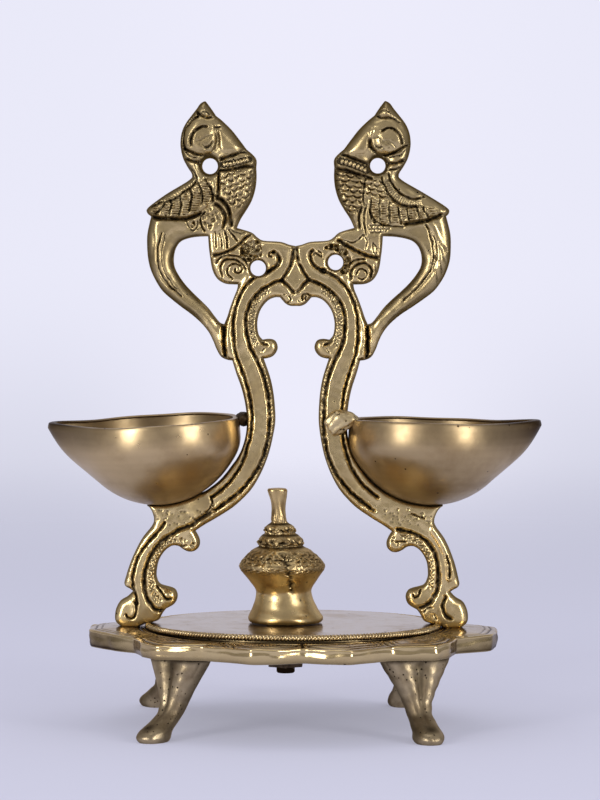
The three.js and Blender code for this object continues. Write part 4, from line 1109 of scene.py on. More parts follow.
groove([(31.6, 185), (34.6, 185.7), (36.4, 187.2)], 0.4, 0.35)
groove([(35.4, 181.8), (33.4, 181.2), (31.6, 181)], 0.6, 0.6)
groove([(14.4, 186.2), (17, 185.6), (20, 184.5), (23, 183.3), (25, 182.6)], 0.95, 1.0)
groove([(13.6, 181.6), (17, 180.9), (20, 179.9), (23, 179), (25.6, 178.2)], 0.95, 1.0)
beads([(15.4, 183.9), (19, 182.9), (24, 180.9)], 1.35, 0.66, 0.6)
raise_form([(13.8, 180.2), (23.6, 177.6), (23.4, 171), (20.6, 164), (18, 166.6), (14.6, 173)], 0.6, 3.2)
crescents([(13.8, 180.8), (23.4, 178.4), (22.9, 171), (20.2, 165.8), (17.2, 168.4), (14.2, 174)],
          3.0, 1.6, 0.55, -6)
groove([(23.7, 178.2), (23.2, 175), (22.9, 172), (23.4, 169.6)], 0.55, 0.55)
crescents([(24, 178.4), (29, 177.4), (30.2, 174.2), (31.8, 171.8), (25.4, 171.4), (23.6, 173)],
          2.7, 1.55, 0.5, -14)
groove([(31, 179.8), (32, 177), (34, 174.2), (36.5, 172.4), (39.5, 171.6), (42.6, 172.1)], 0.7, 0.8)
groove([(28.8, 178.6), (29.8, 175.6), (31.3, 172.9), (33.8, 170.4), (36.8, 169.2), (40, 169)], 0.75, 0.8)
ticks([(30.3, 177.6), (31.4, 174.9), (33.2, 172.6), (35.4, 171), (38.4, 170.2), (42, 170.2)],
      0.8, 1.9, 90, 0.4, 0.3)
raise_form([(25, 171.4), (31, 171.4), (36, 168.6), (42, 169.4), (47.6, 168.2), (47, 166.2), (42, 164.8),
            (34, 163.6), (27, 164)], 0.75, 1.6)
for line in [
    [(25.4, 171.2), (25.2, 168), (25.6, 165.2)], [(28.4, 171.2), (28.1, 168), (28.4, 164.4)],
    [(31.6, 170.4), (31.3, 167), (31.7, 163.6)], [(34.4, 168.6), (34.7, 166), (35.1, 163.6)],
    [(37, 168.4), (37.3, 166.4), (38, 164.4)], [(40.4, 168.8), (40.7, 167), (41.2, 165)],
    [(42.3, 169), (43, 167.4), (44, 165.6)],
]:
    groove(line, 0.65, 0.7)
barbs([(25.9, 27.8), (28.9, 31), (32, 34.2), (35.2, 36.8), (37.9, 40.1), (41.3, 42.6), (44, 46.8)],
      ([26, 31, 35, 47], [171, 170.4, 168.4, 168.6]), ([26, 35, 47], [164.6, 163.6, 166.2]), 96)
groove([(36.8, 163.4), (40, 163.9), (43, 164.3), (45.5, 165.2), (48, 166.3)], 1.05, 1.15)
groove([(24, 169.6), (23.2, 166.5), (23.3, 163), (24, 159.8)], 0.6, 0.6)
groove([(22.4, 169), (21.6, 166), (21.8, 162.4)], 0.7, 0.8)
groove([(25.4, 167.4), (26.4, 165), (28.8, 163.3), (32, 162.8), (36, 162.6)], 0.5, 0.45)
scales([(24.8, 163.6), (26.6, 164.4), (31.6, 162.4), (31, 160.8), (26, 160.2), (24.6, 161)], 1.9, 0.45)
raise_form([(33, 162.4), (43.4, 162.6), (46.4, 157.6), (47.2, 151.6), (45.4, 147), (40, 141), (33, 135.2),
            (28.2, 129), (26.4, 123), (28, 124.6), (31.2, 130.4), (38, 137), (43.6, 141.6), (48.2, 149),
            (49, 156), (45.6, 164), (40, 163)], 0.35, 1.2)
groove([(43.2, 163.2), (44.4, 160.8), (45.3, 157), (45.7, 153), (45, 149), (43, 146), (40, 142.4),
        (35.8, 138.6)], 0.55, 0.6)
groove([(45.7, 159.4), (46.7, 156), (46.6, 152), (45.8, 149.4)], 0.45, 0.4)
ticks([(48.7, 158), (49, 153.6), (47.8, 148.6), (45.6, 144.6)], 3.4, 4.0, 30, 0.55, 0.4)
groove([(15, 158.1), (18.5, 155.9), (22, 154.2), (25, 152.9), (28.8, 152.2)], 1.15, 1.2)
groove([(16.4, 158.2), (19.4, 157.4), (21.2, 158.2), (22.8, 160)], 0.5, 0.5)
groove([(23.2, 160), (24.2, 157.8), (23.8, 155.4)], 0.5, 0.45)
groove([(26.2, 157.4), (27.4, 155.4), (27.4, 153.9), (26.2, 154.4), (26.2, 157.4)], 0.45, 0.45)
groove([(18.7, 145.4), (19.2, 148.4), (21.2, 150.5), (24, 150.6), (25.7, 148.5), (25.5, 146)], 0.85, 0.9)
groove([(20.6, 147), (21.8, 148.7), (23.8, 148.3), (24, 146.4), (22.6, 145.3), (21.3, 146)], 0.55, 0.6)
groove([(26.8, 150.2), (27.4, 147.4)], 0.5, 0.5)
groove([(18.4, 150.4), (20.6, 151.8), (23.4, 152)], 0.7, 0.7)

# Left leg and scroll foot
groove([(-41.8, 66), (-43.5, 63.8), (-46.5, 60.4), (-49, 57.3), (-50.8, 54), (-51.7, 51), (-52.3, 48),
        (-52.2, 45.4), (-51.2, 42), (-50.9, 39.4)], 0.95, 1.0)
groove([(-51.6, 40), (-51.2, 38), (-51.4, 36), (-52.6, 34.8), (-53.9, 35.1), (-54.3, 35.9)], 0.75, 0.85)
groove([(-27, 69.4), (-30, 67.6), (-33, 65.4), (-36.5, 64), (-39.5, 62.3), (-42.5, 60.2), (-45, 57.5),
        (-46.8, 54.5), (-48, 51), (-48.5, 48), (-48.4, 44.5), (-47.6, 41.5), (-46.2, 39), (-44.5, 37.7),
        (-42.4, 37.3)], 1.25, 1.1)
groove([(-44.3, 45.2), (-43, 43.4), (-41.9, 41.8), (-40.9, 41.1), (-39.7, 41.3)], 0.8, 0.9)
raise_boss(-40.8, 42.5, 1.2, 0.4, 0.8, 6)
zigzag([(-38, 61), (-40.6, 60.2), (-43, 58), (-45, 54.6), (-46, 51), (-46.2, 47), (-45.4, 43), (-43, 40)],
       1.35, 0.75)
groove([(-37.4, 58.6), (-36, 58.3), (-34.4, 58.7)], 0.6, 0.6)
pits([(-38, 61.8), (-33, 62), (-31.6, 59.4), (-33.6, 57.8), (-38, 59.4)], 1.1, 0.35, 0.4, 41)
groove([(-26.6, 74.6), (-26.3, 72.2), (-27.8, 69.6)], 0.6, 0.6)

# Right leg and scroll foot
groove([(34, 64.1), (38, 63.3), (41.5, 61.8), (44, 59.8), (46, 57), (47, 54), (47.4, 51), (47.4, 47),
        (46.9, 44), (45.5, 41.3), (44, 39.6), (41.6, 38.5)], 1.25, 1.1)
groove([(50.2, 55.4), (50.8, 53.4), (51.2, 51), (51.1, 48.4)], 0.75, 0.9)
groove([(49.9, 42.2), (49, 40), (49.1, 37.8), (49.9, 36), (51.6, 35)], 1.0, 1.1)
groove([(41.6, 44.4), (41, 42.6), (39.9, 41.9), (39.2, 42.7)], 0.7, 0.8)
groove([(42.9, 37.2), (44, 38.5), (45.4, 38.6)], 0.6, 0.6)
groove([(46.2, 36.4), (46.8, 34.8)], 0.5, 0.5)
groove([(33.8, 60), (35.6, 60.2), (37, 60.1)], 0.6, 0.6)
groove([(38.6, 69.3), (41, 68.4), (43, 67.7)], 0.5, 0.6)
zigzag([(36, 61.8), (38.6, 61.4), (41, 60), (43.6, 57), (45, 53.4), (45.4, 49.6), (45, 45)], 1.4, 0.75)
pits([(37, 62.8), (32.6, 62.4), (32, 59.6), (34, 58.2), (36, 60)], 1.1, 0.35, 0.4, 42)
raise_form([(46.4, 66), (49.6, 61), (52, 55.6), (53.2, 49), (50.4, 47.4), (49.6, 54), (47, 59.6),
            (44.6, 63.6)], 0.5, 1.6)


def grid_faces():
    """The grid points that the casting uses, and its four-cornered cells. No two cells meet at one
    corner alone."""
    middle = (depth[:-1, :-1] + depth[1:, :-1] + depth[:-1, 1:] + depth[1:, 1:]) / 4
    chosen = middle > 0
    for _ in range(4):
        a, b, c, d = chosen[:-1, :-1], chosen[1:, :-1], chosen[:-1, 1:], chosen[1:, 1:]
        pinch = (a & d & ~b & ~c) | (b & c & ~a & ~d)
        if not pinch.any():
            break
        chosen[:-1, :-1] |= pinch
        chosen[1:, :-1] |= pinch
    rows, columns = np.nonzero(chosen)
    tall = grid_x.shape[1]
    index = rows * tall + columns
    quads = np.stack([index, index + tall, index + tall + 1, index + 1], -1)
    used, flat = np.unique(quads, return_inverse=True)
    return used, flat.reshape(quads.shape)


def sampled(field, x, z):
    """A grid field read between its points."""
    i = np.clip((x - grid_across[0]) / cell, 0, len(grid_across) - 1.001)
    j = np.clip((z - grid_up[0]) / cell, 0, len(grid_up) - 1.001)
    i0, j0 = i.astype(int), j.astype(int)
    fi, fj = i - i0, j - j0
    low = field[i0, j0] * (1 - fj) + field[i0, j0 + 1] * fj
    high = field[i0 + 1, j0] * (1 - fj) + field[i0 + 1, j0 + 1] * fj
    return low * (1 - fi) + high * fi


def frame_mesh():
    """Both chased faces of the casting and the filed walls between them. The points on the border are
    drawn on to the outline and evened out along it."""
    used, quads = grid_faces()
    x = grid_x.ravel()[used].copy()
    z = grid_z.ravel()[used].copy()
    edges = np.concatenate([quads[:, [0, 1]], quads[:, [1, 2]], quads[:, [2, 3]], quads[:, [3, 0]]])
    key = np.sort(edges, 1)
    order = np.lexsort((key[:, 1], key[:, 0]))
    same = np.all(key[order][1:] == key[order][:-1], 1)
    alone = np.ones(len(order), bool)
    alone[1:] &= ~same
    alone[:-1] &= ~same
    border = edges[order[alone]]
    slope_x, slope_z = np.gradient(depth, cell)
    on_border = np.unique(border)
    linked = [[] for _ in range(len(used))]
    for a, b in border:
        linked[a].append(b)
        linked[b].append(a)
    neighbours = np.array([linked[p][:2] for p in on_border])
    for _ in range(6):
        for _ in range(2):
            gap = sampled(depth, x[on_border], z[on_border])
            gx = sampled(slope_x, x[on_border], z[on_border])
            gz = sampled(slope_z, x[on_border], z[on_border])
            size = np.maximum(gx * gx + gz * gz, 0.25)
            x[on_border] -= gap * gx / size
            z[on_border] -= gap * gz / size
        x[on_border] += 0.4 * (x[neighbours].mean(1) - x[on_border])
        z[on_border] += 0.4 * (z[neighbours].mean(1) - z[on_border])
    inset = np.maximum(sampled(depth, x, z), 0)
    inset[on_border] = 0
    roundness = sampled(edge_round, x, z)
    from_arc = roundness - np.minimum(inset, roundness)
    drop = roundness - np.sqrt(np.maximum(roundness**2 - from_arc**2, 0))
    fade = np.clip(inset / 0.7, 0, 1)
    height = half_thickness - drop + sampled(relief_height, x, z) * fade
    height = np.maximum(height, 0.6)
    # Grime in the cuts, painted shade along the edges and in a band round the outside of each bird, and
    # the birds a little darker all over
    edge_shade_band = 0.8
    bird_shade_band = 2.6
    dirt_and_shade = sampled(grime_and_shade_map, x, z) * (0.5 + 0.5 * fade)
    dirt_and_shade = np.maximum(dirt_and_shade, 0.6 * (1 - np.clip(inset / edge_shade_band, 0, 1)))
    tail = np.clip((np.abs(x) - 27) / 4, 0, 1) * np.clip((z - 120) / 8, 0, 1)
    bird = np.maximum(tail, np.clip((z - 161) / 5, 0, 1))
    outer = np.clip(1 - inset / bird_shade_band, 0, 1) ** 0.8
    dirt_and_shade = np.maximum(dirt_and_shade, 0.78 * bird * outer)
    dirt_and_shade = np.where(dirt_and_shade < 0.2, dirt_and_shade + 0.15 * bird, dirt_and_shade)
    count = len(used)
    front = np.stack([x, -height, z], -1)
    back = np.stack([x, height, z], -1)
    points, shades = [front, back], [dirt_and_shade, dirt_and_shade]
    quads_all = [quads, quads[:, ::-1] + count]
    local = np.full(count, -1)
    local[on_border] = np.arange(len(on_border))
    normal_x = sampled(slope_x, x[on_border], z[on_border])
    normal_z = sampled(slope_z, x[on_border], z[on_border])
    long = np.maximum(np.hypot(normal_x, normal_z), 1e-6)
    layers = 5
    rings = [on_border]
    start = 2 * count
    for layer in range(1, layers):
        share = layer / layers
        belly = 0.22 * math.sin(math.pi * share)
        points.append(np.stack([x[on_border] - belly * normal_x / long,
                                height[on_border] * (2 * share - 1),
                                z[on_border] - belly * normal_z / long], -1))
        # Painted shade on the filed walls
        shades.append(np.full(len(on_border), 0.5))
        rings.append(start + np.arange(len(on_border)))
        start += len(on_border)
    rings.append(on_border + count)
    for near, far in zip(rings, rings[1:]):
        a, b = local[border[:, 0]], local[border[:, 1]]
        quads_all.append(np.stack([near[b], near[a], far[a], far[b]], -1))
    return np.concatenate(points), np.concatenate(quads_all), np.concatenate(shades)


# The casting's edge_on tint darkens reflections seen edge-on as painted shade
cast_brass = brass_material(
    "cast_brass", (0.82, 0.635, 0.32), (0.46, 0.33, 0.15), (0.012, 0.008, 0.006),
    bump=0.00006, edge_on=(0.34, 0.29, 0.24), patch_scale=70.0, patch_share=0.65,
    grain_scale=480.0, grain_depth=0.2, pit_scale=520.0, pit_size=0.2, pit_share=0.1,
    smooth=0.24, dull=0.44,
)
points, quads, recess = frame_mesh()
casting_mesh = mesh_from("twin_peacock_casting", points, quads, recess)
peacocks = piece_from("twin_peacock_casting", casting_mesh, cast_brass, crease=60)
triangles_now = sum(len(face.vertices) - 2 for face in peacocks.data.polygons)
thin = peacocks.modifiers.new("fewer_faces", "DECIMATE")
thin.ratio = min(1.0, most_triangles / triangles_now)
bpy.context.view_layer.update()
thinned = bpy.data.meshes.new_from_object(peacocks.evaluated_get(bpy.context.evaluated_depsgraph_get()))
peacocks.modifiers.remove(thin)
peacocks.data = thinned
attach(peacocks, "root")
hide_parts("twin_peacock_frame")


# Two oil bowls, cast thick, turned inside and out, with the rim pulled into a pointed lip for the
# wick. Each is held by one brass rivet through its floor and by braze metal at the arm.

bowl_wall = 1.8
bowl_floor = 2.2
lip_reach = 9.4
lip_rise = 1.0
lip_spread = 18.5
lip_start = 0.3
lip_sweep = 1.3
lip_full = 0.93
rim_curl = 1.3
rim_curl_start = 14.0
rim_round = 0.45
belly_out = 0.6
belly_height = 18
belly_spread = 5
# How far each bowl is tipped towards the front, in degrees, and how dark its outside is
bowl_nod = {-1: 2.0, 1: -0.5}
bowl_tarnish = {-1: 0.06, 1: 0.22}
side_names = {-1: "left", 1: "right"}


def seated(points, side):
    """Points drawn in the bowl's own frame, carried to its knee."""
    turn = Euler((math.radians(bowl_nod[side]), side * math.radians(bowl_droop[side]), 0)).to_matrix()
    knee_x, knee_z = bowl_knee[side]
    return points @ np.array(turn).T + np.array([knee_x, 0, knee_z])


def bowl_mesh(name, side):
    """A bowl turned from its profile, up the outside, over the rim and down the inside, with its lip."""
    around = 200
    angle = 2 * np.pi * np.arange(around) / around
    profile = []
    for turn in np.linspace(0, np.pi / 2, 46):
        height = bowl_depth * (1 - math.cos(turn))
        curl = rim_curl * max(0.0, (height - rim_curl_start) / (bowl_depth - rim_curl_start)) ** 1.6
        belly = belly_out * math.exp(-(((height - belly_height) / belly_spread) ** 2))
        profile.append((bowl_radius * math.sin(turn) - curl + belly, height))
    rim_radius, _ = profile.pop()
    for turn in np.linspace(0, np.pi, 9):
        radius = rim_radius - bowl_wall / 2 + bowl_wall / 2 * math.cos(turn)
        profile.append((radius, bowl_depth - rim_round + rim_round * math.sin(turn)))
    inside_from = len(profile) - 1
    for turn in np.linspace(np.pi / 2, 0, 40)[1:]:
        radius = (bowl_radius - bowl_wall) * math.sin(turn)
        profile.append((radius, bowl_floor + (bowl_depth - bowl_floor) * (1 - math.cos(turn))))
    profile = np.array(profile)
    radius, height = profile[:, :1], profile[:, 1:]
    x, y = radius * np.cos(angle), radius * np.sin(angle)
    bearing = np.degrees(np.arctan2(y, side * x))
    rise = np.clip((height / bowl_depth - lip_start) / (lip_full - lip_start), 0, 1)
    peak = np.exp(-((bearing / lip_spread) ** 2))
    x = x + side * lip_reach * peak * (radius / bowl_radius) * rise**lip_sweep
    wave = 0.12 * np.sin(3 * angle + side) + 0.07 * np.sin(7 * angle)
    z = height + wave * np.clip(height / bowl_depth, 0, 1) ** 3 - 0.12 * (height > 26)
    z = z + lip_rise * peak * rise**2
    points = np.stack([x, y, np.broadcast_to(z, x.shape)], -1).reshape(-1, 3)
    inner = np.arange(len(profile)) >= inside_from
    # Outside, each bowl's tarnish with painted shade darker towards the floor, and darker still near the
    # lip and in a line round the rim; inside, painted shade all over, darker towards its floor
    lip_darkening = 0.75 * np.exp(-((bearing / 34) ** 2)) * np.clip((height - 15) / 9, 0, 1)
    low_shade = 0.26 * np.clip(1 - height / 20, 0, 1)
    rim_line = 0.3 * bump_at(height - bowl_depth, 0.6)
    outside = bowl_tarnish[side] + low_shade + lip_darkening + rim_line
    dirt_and_shade = np.where(inner[:, None], 0.4 + 0.3 * (1 - height / bowl_depth), outside) * np.ones(around)
    dirt_and_shade = dirt_and_shade + 0.03 * np.sin(31 * height + 3 * np.sin(angle)) * np.sin(1.3 * height + 2 * angle)
    dirt_and_shade = np.clip(dirt_and_shade, 0, 1)
    return mesh_from(name, seated(points, side), ring_quads(len(profile), around), dirt_and_shade)


bowl_brass = brass_material(
    "bowl_brass", (0.62, 0.46, 0.255), (0.43, 0.30, 0.155), (0.06, 0.036, 0.018),
    bump=0.00005, patch_scale=45.0, patch_share=0.7, grain_scale=260.0, grain_depth=0.35,
    pit_scale=300.0, pit_size=0.13, pit_share=0.16, smooth=0.29, dull=0.43,
)
for side, word in side_names.items():
    bowl = piece_from(word + "_oil_bowl", bowl_mesh(word + "_oil_bowl", side), bowl_brass, crease=30)
    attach(bowl, "root")
    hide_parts(word + "_bowl")


# Braze metal, run on where each bowl's rim meets the arm: a low tab on the left and a swollen lump
# over the front face on the right.

def lump_mesh(name, centre, size, slump, run_out, grime_and_shade, seed):
    """A lumpy closed blob whose lower part runs to one side, with painted shade low down beside it."""
    rows, around = 60, 80
    down = np.linspace(0, np.pi, rows)[:, None]
    angle = 2 * np.pi * np.arange(around)[None, :] / around
    wave = 1 + 0.08 * np.sin(2 * angle + seed) * np.sin(down)
    wave = wave + 0.06 * np.cos(3 * down + angle + seed) * np.sin(down)
    wave = wave + 0.07 * np.sin(4 * angle - 3 * down + seed) * np.sin(down)
    wave = wave + 0.04 * np.sin(7 * angle + 6 * down) * np.sin(down)
    low = np.clip(-np.cos(down), 0, 1)
    rim_way = np.clip(np.cos(angle + 0.5), 0, 1) ** 2 * np.sin(down) ** 3
    x = centre[0] + size[0] * wave * np.sin(down) * np.cos(angle) * (1 - 0.35 * low) - slump * low
    x = x + run_out * rim_way
    y = centre[1] + size[1] * wave * np.sin(down) * np.sin(angle) - 0.3 * run_out * rim_way
    z = centre[2] + size[2] * wave * np.cos(down) * np.ones_like(angle) + 0.45 * run_out * rim_way
    beside = np.clip(np.cos(angle - 0.2), 0, 1) ** 2 * np.clip(low + 0.5 * np.sin(down), 0, 1)
    dirt_and_shade = np.clip(grime_and_shade + 0.8 * beside, 0, 1)
    return mesh_from(name, np.stack([x, y, z], -1).reshape(-1, 3), ring_quads(rows, around), dirt_and_shade)


braze_brass = brass_material(
    "braze_brass", (0.66, 0.52, 0.29), (0.44, 0.33, 0.17), (0.04, 0.022, 0.012),
    bump=0.00022, patch_scale=200.0, patch_share=0.7, grain_scale=500.0, grain_depth=0.8,
    pit_scale=600.0, pit_size=0.3, pit_share=0.5, smooth=0.36, dull=0.55,
)
# Middle, half sizes, how far the foot slumps, how far it runs along the rim, and how black it is, which
# on the left is painted shade
braze_places = {
    "left": ((-16.3, 0.6, 99.8), (2.9, 3.0, 2.4), 0.0, 0.0, 0.9),
    "right": ((15.4, -5.4, 98.9), (4.7, 2.6, 4.2), 1.6, 2.4, 0.0),
}
for word, place in braze_places.items():
    seed = len(word)
    lump = piece_from(word + "_braze_lump", lump_mesh(word + "_braze_lump", *place, seed), braze_brass)
    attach(lump, "root")
    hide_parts(word + "_rim_braze")


# The kalash finial is a small cast pot on a flared foot, its upper half chased with leaves and
# beads, with a plain peg on top to lift it by. A stud under it passes through the plate to a nut.

finial_x = -2.4
finial_seat = disc_top + 0.3
finial_lean = math.tan(math.radians(3.6))
stud_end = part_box("kalash_finial")[0].z / MM - finial_seat
# Radius and height over the seat, up from the foot to the top of the peg
finial_profile = [
    (11.2, 0), (11.9, 0.25), (12.2, 1.1), (12.0, 2.1), (11.35, 3.3), (10.6, 4.7), (9.95, 6.2), (9.4, 7.8),
    (9.05, 9.2), (9.1, 10.4), (9.7, 11.8), (10.8, 13.3), (12.0, 14.9), (13.1, 16.4), (13.8, 17.4),
    (14.1, 18.4), (13.9, 19.2), (13.2, 20.2), (12.0, 21.5), (10.6, 22.8), (9.1, 23.9), (7.7, 24.6),
    (7.1, 25.1), (7.35, 25.8), (7.1, 27.0), (6.6, 27.9), (5.7, 28.6), (5.0, 29.0), (4.9, 29.6),
    (4.95, 30.5), (4.6, 31.3), (3.8, 31.9), (2.9, 32.4), (2.55, 33.0), (2.4, 34.6), (2.25, 36.4),
    (2.25, 37.6), (2.45, 39.3), (2.8, 41.0), (3.1, 42.4), (3.2, 43.2), (2.8, 43.75), (1.6, 43.8),
    (0, 43.7),
]
stud_profile = [(0, stud_end), (2.6, stud_end), (3.0, stud_end + 0.4), (3.0, -0.1), (3.0, 0.0)]
leaf_middle = 21.3
brow_height = 17.6
flaw_top = 24
flaw_foot = 9.5


def finial_mesh(name):
    """The finial turned from its profile, then chased, worn and dented, with a casting flaw in front."""
    around = 240
    angle = 2 * np.pi * np.arange(around)[None, :] / around
    body = curve(finial_profile, per_span=4)
    profile = np.vstack([stud_profile, body])
    profile[:, 0] = np.maximum(profile[:, 0], 0)
    radius, height = profile[:, :1], profile[:, 1:]
    dirt_and_shade = np.zeros((len(profile), around))
    push = np.zeros((len(profile), around))
    turned = angle + 0.12 * np.sin(2.3 * height + 5 * angle)
    leaves = 5
    cone = bump_at(height - leaf_middle, 2.5)
    leaf = np.abs(np.sin(turned * leaves + 0.5 * np.sin(height * 1.3)))
    vein = bump_at(leaf, 0.14)
    tips = bump_at(np.abs(np.cos(turned * leaves)) - 0.35 - (height - 19.5) * 0.12, 0.08)
    crossed = np.sin(17 * turned + 2.1 * height) * np.sin(11 * turned - 3.7 * height)
    flecks = np.clip(crossed - 0.2, 0, 1) * 2.4
    marks = np.clip(np.maximum.reduce([vein, tips, flecks]), 0, 1)
    push -= 0.55 * cone * marks
    dirt_and_shade = np.maximum(dirt_and_shade, cone * marks * 0.95)
    edge = bump_at(height - brow_height, 1.0)
    notches = 40
    cuts = np.cos(turned * notches + 0.8 * np.sin(7 * angle))
    push += 0.28 * edge * np.clip(cuts, 0, 1) - 0.15 * edge
    dirt_and_shade = np.maximum(dirt_and_shade, edge * np.clip(-cuts, 0, 1) * 0.85)
    # Two crowns of curled beads, by height, half width and number, with black lines round them
    for at, wide, number in ((26.3, 1.3, 15), (30.2, 1.0, 11)):
        row = bump_at(height - at, wide)
        lumps = np.cos(turned * number + 5 * at) + 0.6 * np.sin(turned * 7 + 3 * height)
        curls = np.sin(23 * turned + 3 * height) * np.cos(3.4 * height - 9 * turned)
        push += row * (0.3 * lumps + 0.22 * curls)
        dirt_and_shade = np.maximum(dirt_and_shade, row * np.clip(0.6 - 0.7 * lumps - 0.8 * curls, 0, 1) * 0.95)
    for at in (24.8, 28.6, 32.2):
        dirt_and_shade = np.maximum(dirt_and_shade, 0.85 * bump_at(height - at, 0.5) * np.ones_like(angle))
    rough = 0.16 * np.sin(9 * angle + 2 * height) * np.sin(5 * angle - 1.7 * height)
    push += rough * np.clip((height - 17) / 4, 0, 1) * np.clip((36 - height) / 3, 0, 1)
    push += 0.12 * np.sin(2 * angle) + 0.08 * np.sin(5 * angle + height) * (height < 3)
    push += 0.07 * np.sin(4 * angle + 0.8 * height) * np.sin(0.9 * height) * (height < 17)
    push += 0.16 * np.sin(3 * angle + 0.5 * height) * (height > 33)
    # The casting flaw wanders down the front of the belly
    flaw_turn = np.mod(angle + np.pi / 2 - 0.22 + 0.02 * (height - 16) + np.pi, 2 * np.pi) - np.pi
    flaw_turn = flaw_turn + 0.03 * np.sin(3.1 * height) + 0.02 * np.sin(7.3 * height)
    flaw_wide = 0.75 + 0.35 * np.sin(1.9 * height + 1)
    flaw = bump_at(flaw_turn * radius, flaw_wide) * np.clip((flaw_top - height) / 1.5, 0, 1)
    flaw = flaw * np.clip((height - flaw_foot) / 1.5, 0, 1)
    push -= 0.5 * flaw
    dirt_and_shade = np.maximum(dirt_and_shade, flaw * 0.95)
    # Painted shade: a dark ring at the foot where it sits on the plate, and the stud below the seat black
    dirt_and_shade = np.maximum(dirt_and_shade, 0.7 * bump_at(height - 0.4, 0.6))
    dirt_and_shade = np.maximum(dirt_and_shade, 1.0 * (height < -0.2))
    push = push * (height > 0.1)
    grown_radius = np.where(radius > 0.5, radius + push, radius)
    lean = finial_lean * np.maximum(height, 0)
    x = grown_radius * np.cos(angle) + finial_x - lean
    y = grown_radius * np.sin(angle)
    foot_rim = (height > 0.2) * (height < 2) * (radius > 10)
    z = finial_seat + height + 0.12 * (1 + np.sin(3 * angle)) * foot_rim
    points = np.stack([x, y, z], -1).reshape(-1, 3)
    return mesh_from(name, points, ring_quads(len(profile), around), dirt_and_shade)


# The finial's edge_on tint darkens reflections seen edge-on as painted shade
finial_brass = brass_material(
    "finial_brass", (0.68, 0.51, 0.25), (0.38, 0.26, 0.12), (0.02, 0.012, 0.006),
    bump=0.0001, edge_on=(0.55, 0.48, 0.42), patch_scale=110.0, patch_share=0.7,
    grain_scale=420.0, grain_depth=0.35, pit_scale=430.0, pit_size=0.17, pit_share=0.2,
    smooth=0.29, dull=0.45,
)
finial = piece_from("kalash", finial_mesh("kalash"), finial_brass, crease=50)
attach(finial, "root")
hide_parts("kalash_finial")


# Rivet heads in the bowls, and brass fixings under the plate, coloured near black as painted shade: a nut
# and a washer on the stud, and a screw with a washer up into each foot.

fixing_brass_in_shade = brass_material(
    "fixing_brass_painted_dark", (0.12, 0.085, 0.055), (0.05, 0.035, 0.025), (0.012, 0.008, 0.006),
    bump=0.0001, patch_scale=300.0, patch_share=0.9, grain_scale=900.0, grain_depth=0.5,
    pit_scale=700.0, pit_size=0.2, pit_share=0.3, smooth=0.35, dull=0.6,
)
for name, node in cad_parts.items():
    if name.endswith(("washer", "nut", "screw", "rivet")):
        for slot in node.material_slots:
            slot.material = bowl_brass if name.endswith("rivet") else fixing_brass_in_shade


# The stage: a pale floor that fades into the background, two soft lamps at the front, one above,
# and the camera a little over a metre away, between the heights of the bowls and the birds.

paper_colour = (0.60, 0.60, 0.70, 1)
paper_glow = (0.64, 0.64, 0.78, 1)
glow_share = 0.42
floor_radii = np.array([0.0, 60, 120, 200, 320, 500, 800, 1300, 2200])


def mixed_shader(tree, factor, first, second):
    """A shader between two shaders, by a factor socket."""
    node = new_node(tree, "ShaderNodeMixShader")
    for socket, source in zip(node.inputs, (factor, first, second)):
        tree.links.new(source, socket)
    return node.outputs[0]


def stage_floor():
    """A round sheet of paper. The camera and the metal see it a little brighter than it is lit, so that
    its shadow is soft, and it thins out into the background with distance."""
    ring = 96
    angle = 2 * np.pi * np.arange(ring) / ring
    radii = floor_radii[:, None]
    x, y = radii * np.cos(angle), radii * np.sin(angle)
    points = np.stack([x, y, np.zeros_like(x)], -1).reshape(-1, 3)
    material = bpy.data.materials.new("floor_paper")
    material.use_nodes = True
    tree = material.node_tree
    tree.nodes.clear()
    place = new_node(tree, "ShaderNodeTexCoord")
    size = new_node(tree, "ShaderNodeVectorMath", operation="LENGTH")
    tree.links.new(place.outputs["Object"], size.inputs[0])
    away = ranged(tree, size.outputs["Value"], 0.12, 1.5)
    paper = new_node(tree, "ShaderNodeBsdfDiffuse")
    paper.inputs["Color"].default_value = paper_colour
    glow = new_node(tree, "ShaderNodeEmission")
    glow.inputs["Color"].default_value = paper_glow
    ray = new_node(tree, "ShaderNodeLightPath")
    seen = maths(tree, "ADD", ray.outputs["Is Camera Ray"], ray.outputs["Is Glossy Ray"], clamp=True)
    lit = mixed_shader(tree, maths(tree, "MULTIPLY", seen, glow_share), paper.outputs[0], glow.outputs[0])
    clear = new_node(tree, "ShaderNodeBsdfTransparent")
    out = new_node(tree, "ShaderNodeOutputMaterial")
    tree.links.new(mixed_shader(tree, away, lit, clear.outputs[0]), out.inputs["Surface"])
    mesh = mesh_from("floor", points, ring_quads(len(radii), ring))
    return piece_from("floor", mesh, material)


floor = stage_floor()

world = bpy.data.worlds.new("studio")
bpy.context.scene.world = world
world.use_nodes = True
sky = world.node_tree
sky.nodes.clear()


def sky_colour(low, high, start, end, axis):
    """A colour that changes from one to another along an axis of the world."""
    way = new_node(sky, "ShaderNodeTexCoord")
    apart = new_node(sky, "ShaderNodeSeparateXYZ")
    sky.links.new(way.outputs["Generated"], apart.inputs[0])
    return blended(sky, ranged(sky, apart.outputs[axis], start, end), low, high)


# Behind the lamp the camera sees a pale wall, darker low down and to the sides
seen_behind = new_node(sky, "ShaderNodeBackground")
beside = sky_colour((0.56, 0.565, 0.68, 1), (0.82, 0.82, 0.945, 1), -0.12, 0.0, "Z")
behind = sky_colour((0.61, 0.615, 0.73, 1), (0.845, 0.84, 0.965, 1), -0.12, -0.045, "Z")
behind = sky_colour(beside, behind, -0.11, -0.04, "X")
behind = sky_colour(behind, beside, -0.01, 0.06, "X")
sky.links.new(behind, seen_behind.inputs["Color"])
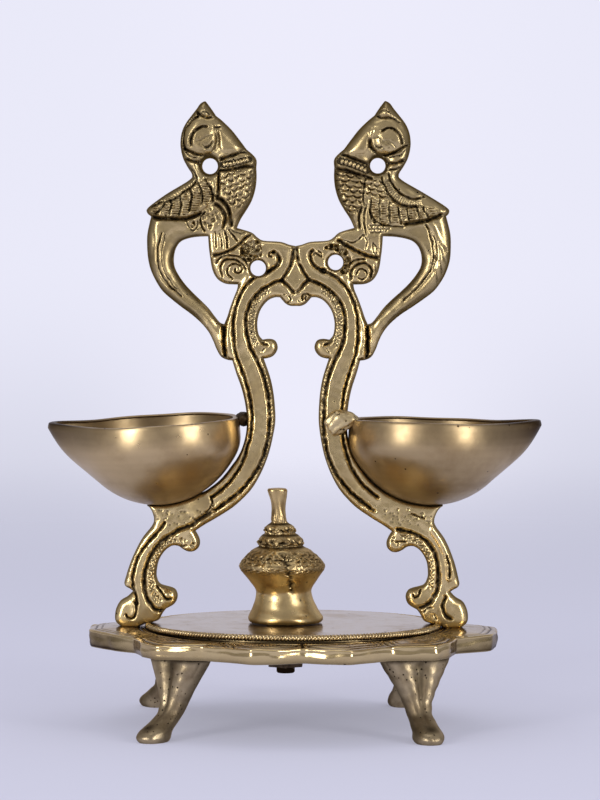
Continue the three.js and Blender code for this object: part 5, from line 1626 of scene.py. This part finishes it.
# The metal mirrors a dim room in front of it and a pale wall behind it
seen_in_metal = new_node(sky, "ShaderNodeBackground")
in_front = sky_colour((0.12, 0.11, 0.115, 1), (0.34, 0.33, 0.35, 1), -0.22, 0.16, "Z")
sky.links.new(sky_colour(in_front, (0.76, 0.76, 0.88, 1), 0.35, 0.95, "Y"), seen_in_metal.inputs["Color"])
# Everything else is lit by an even sky
fill = new_node(sky, "ShaderNodeBackground")
fill.inputs["Color"].default_value = (0.80, 0.80, 0.90, 1)
fill.inputs["Strength"].default_value = 0.82
ray = new_node(sky, "ShaderNodeLightPath")
seen = maths(sky, "ADD", ray.outputs["Is Camera Ray"], ray.outputs["Is Transmission Ray"], clamp=True)
with_metal = mixed_shader(sky, ray.outputs["Is Glossy Ray"], fill.outputs[0], seen_in_metal.outputs[0])
with_camera = mixed_shader(sky, seen, with_metal, seen_behind.outputs[0])
sky.links.new(with_camera, new_node(sky, "ShaderNodeOutputWorld").inputs["Surface"])


def soft_lamp(name, place, aim, width, height, power):
    """A flat lamp with a soft edge, turned towards a place. Sizes are in metres, power in watts."""
    light = bpy.data.lights.new(name, "AREA")
    light.shape = "RECTANGLE"
    light.size = width
    light.size_y = height
    light.energy = power
    lamp = bpy.data.objects.new(name, light)
    lamp.location = place
    lamp.rotation_mode = "QUATERNION"
    lamp.rotation_quaternion = (Vector(aim) - Vector(place)).to_track_quat("-Z", "Y")
    bpy.context.scene.collection.objects.link(lamp)


soft_lamp("left_softbox", (-0.66, -0.85, 0.34), (0, 0, 0.1), 0.28, 0.6, 4.8)
soft_lamp("right_softbox", (0.8, -0.68, 0.34), (0, 0, 0.1), 0.26, 0.6, 4.2)
soft_lamp("top_softbox", (0, 0.1, 1.1), (0, 0, 0.05), 0.8, 0.6, 1.6)

camera_data = bpy.data.cameras.new("camera")
camera_data.sensor_width = 36
camera_data.lens = 151.83
camera_data.clip_start = 0.05
camera_data.clip_end = 20
camera = bpy.data.objects.new("camera", camera_data)
camera.location = (0.038, -1.1, 0.155)
camera_aim = Vector((0.0023, 0, 0.1061))
camera.rotation_mode = "QUATERNION"
camera.rotation_quaternion = (camera_aim - camera.location).to_track_quat("-Z", "Y")
bpy.context.scene.collection.objects.link(camera)
bpy.context.scene.camera = camera
bpy.context.scene.view_settings.view_transform = "Standard"
